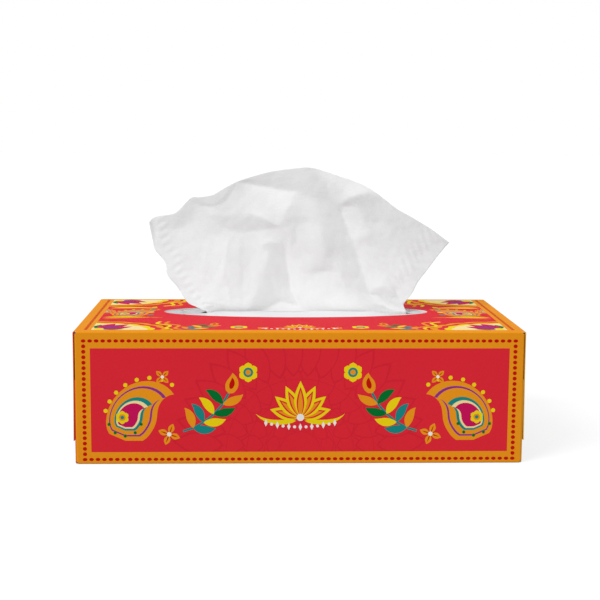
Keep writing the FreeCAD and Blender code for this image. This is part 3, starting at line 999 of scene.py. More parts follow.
@dataclass
class Carton:
    """The printed paperboard carton, cut as one flat blank and folded."""

    length: float
    depth: float
    height: float
    board: float = 0.45
    crease_inside: float = 0.3
    flap_trim: float = 0.3
    dust_flap_gap: float = 18.0
    bottom_flap_stop: float = 23.0
    top_flap_stop: float = 11.0
    glue_flap: float = 14.0
    window_length: float = 135.6
    window_width: float = 39.6
    window_back: float = 47.0
    lap_taper: Point = (2.5, 3.5)
    flap_lift: float = 0.35
    back_seam: float = 0.3
    crease_steps: int = 6
    flap_steps: int = 6
    panels: list[Panel] = field(init=False)

    def __post_init__(self) -> None:
        """Lay the panels out along the blank: lap, bottom, front, top and back."""
        half, d, h, t = self.depth / 2, self.depth, self.height, self.board
        dust = (d - self.dust_flap_gap) / 2
        self.panels = [
            Panel(t - self.glue_flap, self.glue_flap, (half - t, self.glue_flap), (0, -1), (1, 0),
                  0.0, 0.0),
            Panel(t, d - t, (half - t, 0.0), (-1, 0), (0, -1), t, h - self.bottom_flap_stop),
            Panel(d, h, (-half, 0.0), (0, 1), (-1, 0), 0.0, dust),
            Panel(d + h, d, (-half, h), (1, 0), (0, 1), 2 * t, h - self.top_flap_stop),
            Panel(2 * d + h, h - self.back_seam, (half, h), (0, -1), (1, 0), 0.0, dust),
        ]

    @classmethod
    def from_frame(cls) -> "Carton":
        """Take the box's sizes from its CAD node.

        Returns:
            The carton, with a length between its upright creases.
        """
        low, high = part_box("carton")
        across, deep, tall = ((high - low) / MM)[:]
        return cls(across - 4 * cls.board, deep, tall)

    @property
    def window_y(self) -> float:
        """Middle of the window, front to back."""
        return self.depth / 2 - self.window_back

    @property
    def crease(self) -> float:
        """Outer radius of a fold."""
        return self.crease_inside + self.board

    def section(self, along: float) -> tuple[Point, Point]:
        """Find a place on the sleeve's outer face and its outward direction, as (y, z) pairs.

        Args:
            along: Place along the blank.

        Returns:
            The place and the unit normal.
        """
        r = self.crease
        panel = self.panels[0]
        for candidate in self.panels[1:]:
            if along >= candidate.start - r:
                before, panel = panel, candidate
        near = along - panel.start
        if near >= r or panel is self.panels[0]:
            place = tuple(o + a * near for o, a in zip(panel.origin, panel.along))
            return place, panel.outward
        angle = (near + r) / (2 * r) * math.pi / 2
        start = tuple(o - a * r for o, a in zip(panel.origin, before.along))
        place = tuple(s + b * r * math.sin(angle) + a * r * (1 - math.cos(angle))
                      for s, b, a in zip(start, before.along, panel.along))
        normal = tuple(math.cos(angle) * b + math.sin(angle) * n
                       for b, n in zip(before.outward, panel.outward))
        return place, normal

    def fold(self, across: float, along: float) -> Triple:
        """Fold one place of the blank into the box.

        Args:
            across: Place along X on the blank, from its middle.
            along: Place along the sleeve.

        Returns:
            The place on the outer face of the board.
        """
        (y, z), (ny, nz) = self.section(along)
        r = self.crease
        panel = max((p for p in self.panels if along >= p.start - r), key=lambda p: p.start)
        corner, reach = self.length / 2 + panel.outset, abs(across)
        start = corner - r
        x, drop = reach, 0.0
        if start < reach < corner + r:
            angle = (reach - start) / (2 * r) * math.pi / 2
            x, drop = start + r * math.sin(angle), r * (1 - math.cos(angle))
        elif reach >= corner + r:
            drop = reach - corner
            x = corner
            if panel.outset > self.board:
                x += self.flap_lift * (drop / panel.flap) ** 2
        return math.copysign(x, across), y - ny * drop, z - nz * drop

    def outline(self) -> list[Point]:
        """Draw the cut edge of the blank, one side and then its mirror image.

        Returns:
            The outline.
        """
        neck, trim = self.length / 2 - self.crease, self.crease + self.flap_trim
        lap, end = self.panels[0].start, self.length / 2 - 4 * self.crease
        side = [(end - self.lap_taper[0], lap), (end, lap + self.lap_taper[1]), (end, -self.crease)]
        for panel in self.panels[1:]:
            tip = self.length / 2 + panel.outset + panel.flap
            low, high = panel.start + trim, panel.start + panel.width - trim
            side += [(neck, low), (tip, low), (tip, high), (neck, high)]
            if panel is self.panels[-1]:
                side.append((neck, panel.start + panel.width))
        return side + [(-x, s) for x, s in reversed(side)]

    def crease_lines(self) -> list[tuple[Point, Point]]:
        """List the lines along which the board bends, so that no face spans a bend.

        Returns:
            The two ends of each line.
        """
        r, n = self.crease, self.crease_steps
        lines = []
        reach = self.length / 2
        for panel in self.panels[1:]:
            levels = [panel.start + r * (2 * k / n - 1) for k in range(n + 1)]
            lines += [((-reach, level), (reach, level)) for level in levels]
            corner = reach + panel.outset
            low, high = panel.start + r, panel.start + panel.width - r
            marks = [corner + r * (2 * k / n - 1) for k in range(n + 1)]
            if panel.outset > self.board:
                marks += [corner + panel.flap * k / self.flap_steps
                          for k in range(1, self.flap_steps)]
            lines += [((side * m, low), (side * m, high)) for side in (-1, 1) for m in marks]
        return lines

    def placed(self, art: Artwork, face: str) -> list[tuple[Ink, list[Point]]]:
        """Move a face's shapes to their place on the blank.

        Args:
            art: The shapes of the face.
            face: Name of the face: front, top, back, bottom, or an end's flap.

        Returns:
            The shapes in the blank's coordinates.
        """
        _, bottom, front, top, back = self.panels
        low, high = bottom.start - self.board + self.depth / 2, top.start + self.depth / 2
        out = (self.length + self.height) / 2
        moves = {
            "bottom": lambda a, b: (-a, low + b),
            "front": lambda a, b: (a, front.start + self.height / 2 + b),
            "top": lambda a, b: (a, high + b),
            "back": lambda a, b: (-a, back.start + self.height / 2 - b),
            "right_top_flap": lambda a, b: (out + top.outset - b, high + a),
            "left_top_flap": lambda a, b: (b - out - top.outset, high - a),
            "right_bottom_flap": lambda a, b: (out + bottom.outset + b, low - a),
            "left_bottom_flap": lambda a, b: (-out - bottom.outset - b, low + a),
        }
        return [(ink, [moves[face](a, b) for a, b in outline]) for ink, outline in art.shapes]

    def printed_shapes(self) -> list[tuple[Ink, list[Point]]]:
        """Print every face of the blank and leave what is glued bare.

        Returns:
            The shapes in the blank's coordinates, in printing order.
        """
        design = CartonPrint(self.length, self.depth, self.height, self.window_back,
                             self.window_length, self.window_width)
        front, end, edge = design.front(), design.end(), design.end_edge()
        shapes = []
        for face, art in (("front", front), ("back", front), ("top", design.top()),
                          ("bottom", design.bottom()), ("right_top_flap", end),
                          ("left_top_flap", end), ("right_bottom_flap", edge),
                          ("left_bottom_flap", edge)):
            shapes += self.placed(art, face)
        reach = self.length / 2 + self.crease
        for panel in (self.panels[2], self.panels[4]):
            low, high, tip = panel.start, panel.start + self.height, reach + panel.flap
            for s in (-1, 1):
                shapes.append((Ink.BOARD, [(s * reach, low), (s * tip, low), (s * tip, high),
                                           (s * reach, high)]))
        low, high = self.panels[0].start - 1, -self.crease
        shapes.append((Ink.BOARD, [(-reach, low), (reach, low), (reach, high), (-reach, high)]))
        return shapes

    def window(self) -> list[Point]:
        """Outline the oval window on the blank.

        Returns:
            The outline.
        """
        top = self.panels[3]
        middle = top.start + self.depth - self.window_back
        return [(self.window_length / 2 * math.cos(a), middle + self.window_width / 2 * math.sin(a))
                for a in (2 * math.pi * i / 120 for i in range(120))]

    def build(self) -> bpy.types.Object:
        """Cut the blank along its print and creases, fold it and give it thickness.

        Returns:
            The carton.
        """
        points: list[Vector] = []
        rings: list[list[int]] = []
        edges: list[tuple[int, int]] = []
        shapes = self.printed_shapes()
        for outline in [self.outline(), self.window()] + [outline for _, outline in shapes]:
            rings.append(list(range(len(points), len(points) + len(outline))))
            points += [Vector(p) for p in counter_clockwise(outline)]
        for start, end in self.crease_lines():
            edges.append((len(points), len(points) + 1))
            points += [Vector(start), Vector(end)]
        cut = geometry.delaunay_2d_cdt(points, edges, rings, 1, 1e-4, True)
        places, triangles, sources = cut[0], cut[2], cut[5]
        inks = list(Ink)
        faces, slots = [], []
        for triangle, source in zip(triangles, sources):
            if 0 not in source or 1 in source:
                continue
            last = max(source)
            ink = shapes[last - 2][0] if last > 1 else Ink.GOLD
            faces.append(list(triangle))
            slots.append(inks.index(ink))
        used = sorted({index for face in faces for index in face})
        number = {old: new for new, old in enumerate(used)}
        faces = [[number[index] for index in face] for face in faces]
        folded = [self.fold(places[index].x, places[index].y) for index in used]
        finishes = [PrintedInk(ink).material() for ink in inks]
        carton = new_piece("folded_carton", folded, faces, finishes, slots)
        thicken(carton, self.board, -1.0, len(inks), even=True)
        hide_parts("carton")
        return carton


def run_along(points: np.ndarray) -> np.ndarray:
    """Measure the way along a line of points, 0 at the first."""
    return np.concatenate([[0.0], np.cumsum(np.linalg.norm(np.diff(points, axis=0), axis=1))])


def through(points: list[Point], shares: np.ndarray) -> np.ndarray:
    """Follow a smooth line through some points.

    Args:
        points: The points that the line goes through.
        shares: Shares of its length, from 0 to 1.

    Returns:
        One row of coordinates for each share.
    """
    line = np.array(points, float)
    lengths = run_along(line)
    goal = shares * lengths[-1]
    span = np.clip(np.searchsorted(lengths, goal + 1e-9, side="right") - 1, 0, len(line) - 2)
    part = ((goal - lengths[span]) / (lengths[span + 1] - lengths[span]))[:, None]
    before, after = line[np.maximum(span - 1, 0)], line[np.minimum(span + 2, len(line) - 1)]
    start, end = line[span], line[span + 1]
    slope_in, slope_out = (end - before) / 2, (after - start) / 2
    a = 2 * start - 2 * end + slope_in + slope_out
    b = -3 * start + 3 * end - 2 * slope_in - slope_out
    return ((a * part + b) * part + slope_in) * part + start


def three_way(values: Triple, share: float) -> float:
    """Blend three values smoothly.

    Args:
        values: The values at the slit, half way and at the crown.
        share: Place between the slit, 0, and the crown, 1.

    Returns:
        The value there.
    """
    low, middle, high = values
    return (low * (1 - share) * (1 - 2 * share) + middle * 4 * share * (1 - share)
            + high * share * (2 * share - 1))


@dataclass(frozen=True)
class Facet:
    """A part of the standing tissue between folds, with its own lean.

    slope is how fast the sheet falls back along the diagonal up and to the left. outline holds
    its corners as (x, rise above the top panel, softness of the edge there), in millimetres.
    """

    slope: float
    outline: tuple[Triple, ...]

    def share(self, x: np.ndarray, rise: np.ndarray) -> np.ndarray:
        """Find how much of the facet's lean holds at each place.

        Args:
            x: Place of each point along X.
            rise: Height of each point above the top panel.

        Returns:
            1 well inside the outline, 0 well outside, and a smooth step between.
        """
        best = np.full(x.shape, np.inf)
        soft = np.ones(x.shape)
        inside = np.zeros(x.shape, bool)
        for (ax, az, a_soft), (bx, bz, b_soft) in zip(self.outline,
                                                      self.outline[1:] + self.outline[:1]):
            dx, dz = bx - ax, bz - az
            part = np.clip(((x - ax) * dx + (rise - az) * dz) / (dx * dx + dz * dz), 0.0, 1.0)
            gap = np.hypot(x - ax - part * dx, rise - az - part * dz)
            near = gap < best
            best = np.where(near, gap, best)
            soft = np.where(near, a_soft + part * (b_soft - a_soft), soft)
            if az != bz:
                inside ^= ((az > rise) != (bz > rise)) & (x < (rise - az) * dx / dz + ax)
        return eased(np.clip(np.where(inside, best, -best) / soft + 0.5, 0.0, 1.0))


@dataclass
class Relief:
    """Depth of the standing tissue, as the surface that comes closest to the lean of its facets."""

    facets: tuple[Facet, ...]
    left: float = -102.0
    bottom: float = -30.0
    step: float = 0.6
    columns: int = 340
    rows: int = 220
    cross_weight: float = 0.12
    steadiness: float = 2e-4

    def __post_init__(self) -> None:
        """Work out the depth on a grid of places."""
        x, rise = np.meshgrid(self.left + self.step * np.arange(self.columns),
                              self.bottom + self.step * np.arange(self.rows))
        lean = np.zeros(x.shape)
        for facet in self.facets:
            lean += (facet.slope - lean) * facet.share(x, rise)
        spectrum = np.fft.fft2(lean / math.sqrt(2.0))
        turn = 2 * math.pi / self.step
        wave_x, wave_z = np.meshgrid(np.fft.fftfreq(self.columns) * turn,
                                     np.fft.fftfreq(self.rows) * turn)
        along = (wave_z - wave_x) / math.sqrt(2.0)
        across = (wave_z + wave_x) / math.sqrt(2.0)
        weight = along ** 2 + self.cross_weight * across ** 2 + self.steadiness
        self.grid = np.fft.ifft2(-1j * along * spectrum / weight).real

    def depth(self, x: np.ndarray, rise: np.ndarray) -> np.ndarray:
        """Read the depth at each place.

        Args:
            x: Place of each point along X.
            rise: Height of each point above the top panel.

        Returns:
            The move to the back.
        """
        column = np.clip((x - self.left) / self.step, 0.0, self.columns - 1.001)
        row = np.clip((rise - self.bottom) / self.step, 0.0, self.rows - 1.001)
        c, r = column.astype(int), row.astype(int)
        u, v = column - c, row - r
        low = self.grid[r, c] * (1 - u) + self.grid[r, c + 1] * u
        high = self.grid[r + 1, c] * (1 - u) + self.grid[r + 1, c + 1] * u
        return low * (1 - v) + high * v


@dataclass(frozen=True)
class Ticks:
    """A row of pressed ticks along a side edge: how far in, how long, how slanted, how deep."""

    inset: float
    length: float
    lean: float
    depth: float


@dataclass
class LeadingTissue:
    """The leading tissue: folded on the pile, gathered in the slit and spread above it."""

    carton: Carton
    inside_length: float
    pile_top: float
    pile_front: float
    thickness: float = 0.24
    flat_size: Point = (200.0, 200.0)
    pile_gap: float = 0.3
    fold_radius: float = 1.3
    fold_setback: float = 2.0
    bend_radius: float = 3.0
    side_inset: float = 4.0
    lower_half: float = 62.0
    slit_left: float = -46.0
    slit_right: float = 57.0
    fold_clearance: float = 0.4
    gather: float = 3.2
    slit_room: float = 1.2
    slit_spread: float = 0.9
    slit_flare: float = 1.5
    crimp_pitch: float = 3.9
    left_ticks: Ticks = Ticks(6.2, 5.0, -0.46, 0.10)
    right_ticks: Ticks = Ticks(9.3, 6.0, -0.59, 0.22)
    ticks_fade: float = 12.0
    ripple_depth: float = 0.35
    lying_ripple: float = 0.3
    calm_rows: float = 24.0
    broad_scale: Triple = (0.085, 0.085, 0.03)
    fine_scale: Triple = (0.3, 0.22, 0.06)
    fine_share: float = 0.35
    columns: int = 216
    standing_rows: int = 150
    layer_rows: int = 22
    turn_rows: int = 8

    left_edge: tuple[Point, ...] = ((-51.4, 2.5), (-56.0, 4.9), (-61.0, 12.4), (-66.1, 18.8),
                                    (-67.3, 25.2), (-72.4, 31.6), (-73.6, 36.8))
    left_corner: Point = (-75.4, 45.7)
    crown: tuple[Point, ...] = ((-72.2, 48.5), (-63.3, 50.1), (-59.5, 52.7), (-53.8, 58.4),
                                (-48.7, 58.9), (-42.7, 60.1), (-36.6, 63.6), (-29.0, 67.2),
                                (-13.8, 71.8), (2.0, 74.0), (7.8, 73.8), (14.2, 72.1),
                                (21.8, 69.6), (29.5, 67.1), (37.3, 63.3), (44.4, 58.3),
                                (51.5, 53.0), (59.3, 48.7), (69.7, 42.4))
    right_corner: Point = (78.9, 35.7)
    right_edge: tuple[Point, ...] = ((55.6, 3.3), (56.8, 5.5), (60.1, 10.0), (62.8, 15.2),
                                     (68.0, 21.7), (73.8, 29.5))
    # Each crease has its place across the sheet and its depth, at the slit, half way and crown.
    creases: tuple = (
        ((0.00, 0.00, 0.00), (-1.0, 1.0, 1.5)),
        ((0.25, 0.27, 0.28), (-2.0, -0.6, 0.0)),
        ((0.55, 0.50, 0.48), (-1.6, -2.2, -2.0)),
        ((0.80, 0.75, 0.70), (-1.0, -0.6, -0.4)),
        ((1.00, 1.00, 1.00), (0.0, 1.6, 2.5)),
    )
    softness: float = 0.09
    facets: tuple[Facet, ...] = ()
    relief: Relief = field(init=False)

    def __post_init__(self) -> None:
        """Work out the relief of the standing part from its facets."""
        self.relief = Relief(self.facets)

    @classmethod
    def from_frame(cls, carton: Carton) -> "LeadingTissue":
        """Place the tissue on the pile and through the carton's window."""
        low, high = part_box("tissue_pile")
        return cls(carton, (high.x - low.x) / MM, high.z / MM, low.y / MM, facets=STANDING_FACETS)

    def crease_depth(self, across: np.ndarray, up: float) -> np.ndarray:
        """Depth of the creased sheet along one row, rounded over at each crease.

        Args:
            across: Places across the sheet, from 0 to 1.
            up: Place of the row, from 0 at the slit to 1 at the crown.

        Returns:
            The depth at each place.
        """
        places = [three_way(place, up) for place, _ in self.creases]
        depths = [three_way(depth, up) for _, depth in self.creases]
        shifts = np.linspace(-1.0, 1.0, 9) * self.softness
        rows = [np.interp(np.clip(across + shift, 0.0, 1.0), places, depths) for shift in shifts]
        return np.mean(rows, axis=0)

    def folded(self, x: np.ndarray, rise: np.ndarray) -> np.ndarray:
        """Depth of the folds at each place, held in near the slit and free above it."""
        room = self.slit_room + self.slit_spread * np.maximum(rise, 0.0) ** self.slit_flare
        return room * np.tanh(self.relief.depth(x, rise) / room)

    def crimps(self, row: int, flat: np.ndarray, left: np.ndarray, right: np.ndarray) -> np.ndarray:
        """Emboss the short ticks that hold the plies together, in a row along each side edge.

        Args:
            row: Number of the row of points.
            flat: Places of its points, as (x, rise).
            left: Points of the left edge, one for each row.
            right: Points of the right edge, one for each row.

        Returns:
            The move along Y of each point.
        """
        total = np.zeros(len(flat))
        for edge, ticks in ((left, self.left_ticks), (right, self.right_ticks)):
            inward = np.abs(flat[:, 0] - edge[row, 0]) - ticks.inset
            phase = (run_along(edge)[row] + ticks.lean * inward) / self.crimp_pitch
            window = np.exp(-(inward / (ticks.length / 2)) ** 4)
            total += ticks.depth * np.cos(2 * math.pi * phase) * window
        return total

    def standing(self) -> np.ndarray:
        """Place the sheet above the slit.

        Returns:
            Points as (row, column, coordinate), the first row in the slit.
        """
        across = np.linspace(0.0, 1.0, self.columns)
        ups = np.linspace(0.0, 1.0, self.standing_rows + 1)
        left = through([(self.slit_left, 0.0), *self.left_edge, self.left_corner], ups)
        right = through([(self.slit_right, 0.0), *self.right_edge, self.right_corner], ups)
        top = through([self.left_corner, *self.crown, self.right_corner], across)
        foot = np.stack([self.slit_left + (self.slit_right - self.slit_left) * across,
                         np.zeros_like(across)], -1)
        rows = []
        for number, up in enumerate(ups):
            side = across[:, None]
            edges = (1 - side) * left[number] + side * right[number]
            ends = (1 - up) * foot + up * top
            corners = ((1 - up) * ((1 - side) * left[0] + side * right[0])
                       + up * ((1 - side) * left[-1] + side * right[-1]))
            flat = edges + ends - corners
            x, rise = flat[:, 0], flat[:, 1]
            y = self.carton.window_y + self.crease_depth(across, up) + self.folded(x, rise)
            y += self.crimps(number, flat, left, right) * min(up * self.ticks_fade, 1.0)
            rows.append(np.stack([x, y, self.carton.height + rise], -1))
        return np.array(rows)

    def lying(self) -> np.ndarray:
        """Place the sheet below the slit: lower half, fold over the pile and rise to the slit.

        Returns:
            Points as (row, column, coordinate), the last row just below the slit.
        """
        low = self.pile_top + self.pile_gap + self.thickness / 2
        radius, bend = self.fold_radius, self.bend_radius
        fold_y = self.pile_front + self.fold_setback + radius
        high = low + 2 * radius
        bend_z = high + self.gather + self.fold_clearance
        slit_y = self.carton.window_y
        lane = [(fold_y + self.lower_half * (1 - k / self.layer_rows), low, 180.0, 0.0)
                for k in range(self.layer_rows)]
        for step in range(self.turn_rows + 1):
            angle = math.pi * step / self.turn_rows
            lane.append((fold_y - radius * math.sin(angle), low + radius - radius * math.cos(angle),
                         180.0 - math.degrees(angle), 0.0))
        for step in range(1, self.layer_rows + 1):
            share = step / self.layer_rows
            lane.append((fold_y + (slit_y - bend - fold_y) * share,
                         high + (bend_z - high) * share ** 2, 0.0, share))
        for step in range(1, self.turn_rows + 1):
            angle = math.pi / 2 * step / self.turn_rows
            lane.append((slit_y - bend + bend * math.sin(angle),
                         bend_z + bend - bend * math.cos(angle), math.degrees(angle), 1.0))
        half = self.inside_length / 2 - self.side_inset
        across = np.linspace(0.0, 1.0, self.columns)
        foot = self.slit_left + (self.slit_right - self.slit_left) * across
        gathers = self.crease_depth(across, 0.0) + self.folded(foot, np.zeros_like(foot))
        rows = []
        for y, z, heading, gathered in lane:
            drawn = eased(gathered)
            left = -half + (self.slit_left + half) * drawn
            right = half + (self.slit_right - half) * drawn
            lean = math.radians(heading)
            depth = gathers * gathered
            rows.append(np.stack([left + (right - left) * across, y + math.sin(lean) * depth,
                                  z - math.cos(lean) * depth], -1))
        return np.array(rows)

    def rippled(self, rows: np.ndarray) -> np.ndarray:
        """Move the sheet a little along its own normals, as limp paper is never quite smooth.

        Args:
            rows: The sheet's points.

        Returns:
            The moved points.
        """
        up = np.gradient(rows, axis=0)
        side = np.gradient(rows, axis=1)
        normal = np.cross(side, up)
        normal /= np.linalg.norm(normal, axis=2, keepdims=True)
        height = np.array([[uneven((x, z, n), self.broad_scale)
                            + self.fine_share * uneven((x, z, n), self.fine_scale)
                            for x, _, z in row] for n, row in enumerate(rows)])
        count = rows.shape[0]
        past_slit = np.arange(count) - (count - self.standing_rows)
        calm = np.clip(np.abs(past_slit) / self.calm_rows, 0.0, 1.0)
        share = np.where(past_slit < 0, self.lying_ripple, 1.0) * calm
        return rows + normal * (height * share[:, None] * self.ripple_depth)[..., None]

    def flat_places(self, rows: np.ndarray) -> np.ndarray:
        """Lay the sheet flat for its material: metres across and along it.

        Args:
            rows: The sheet's points.

        Returns:
            Two coordinates for each point.
        """
        steps = np.linalg.norm(np.diff(rows, axis=0), axis=2).mean(axis=1)
        along = np.concatenate([[0.0], np.cumsum(steps)]) * MM
        across = np.linspace(0.0, self.flat_size[0] * MM, self.columns)
        return np.stack(np.meshgrid(across, along), -1).reshape(-1, 2)

    def build(self) -> bpy.types.Object:
        """Returns:
            The tissue.
        """
        rows = self.rippled(np.concatenate([self.lying(), self.standing()]))
        faces = grid_faces(rows.shape[0], rows.shape[1])
        tissue = new_piece("drawn_tissue", rows.reshape(-1, 3), faces, [TissuePaper().material()])
        mesh = tissue.data
        mesh.polygons.foreach_set("use_smooth", [True] * len(mesh.polygons))
        corners = np.empty(len(mesh.loops), np.int64)
        mesh.loops.foreach_get("vertex_index", corners)
        layer = mesh.uv_layers.new(name="flat_sheet")
        layer.data.foreach_set("uv", self.flat_places(rows)[corners].ravel())
        thicken(tissue, self.thickness, 0.0)
        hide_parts("leading_tissue")
        return tissue


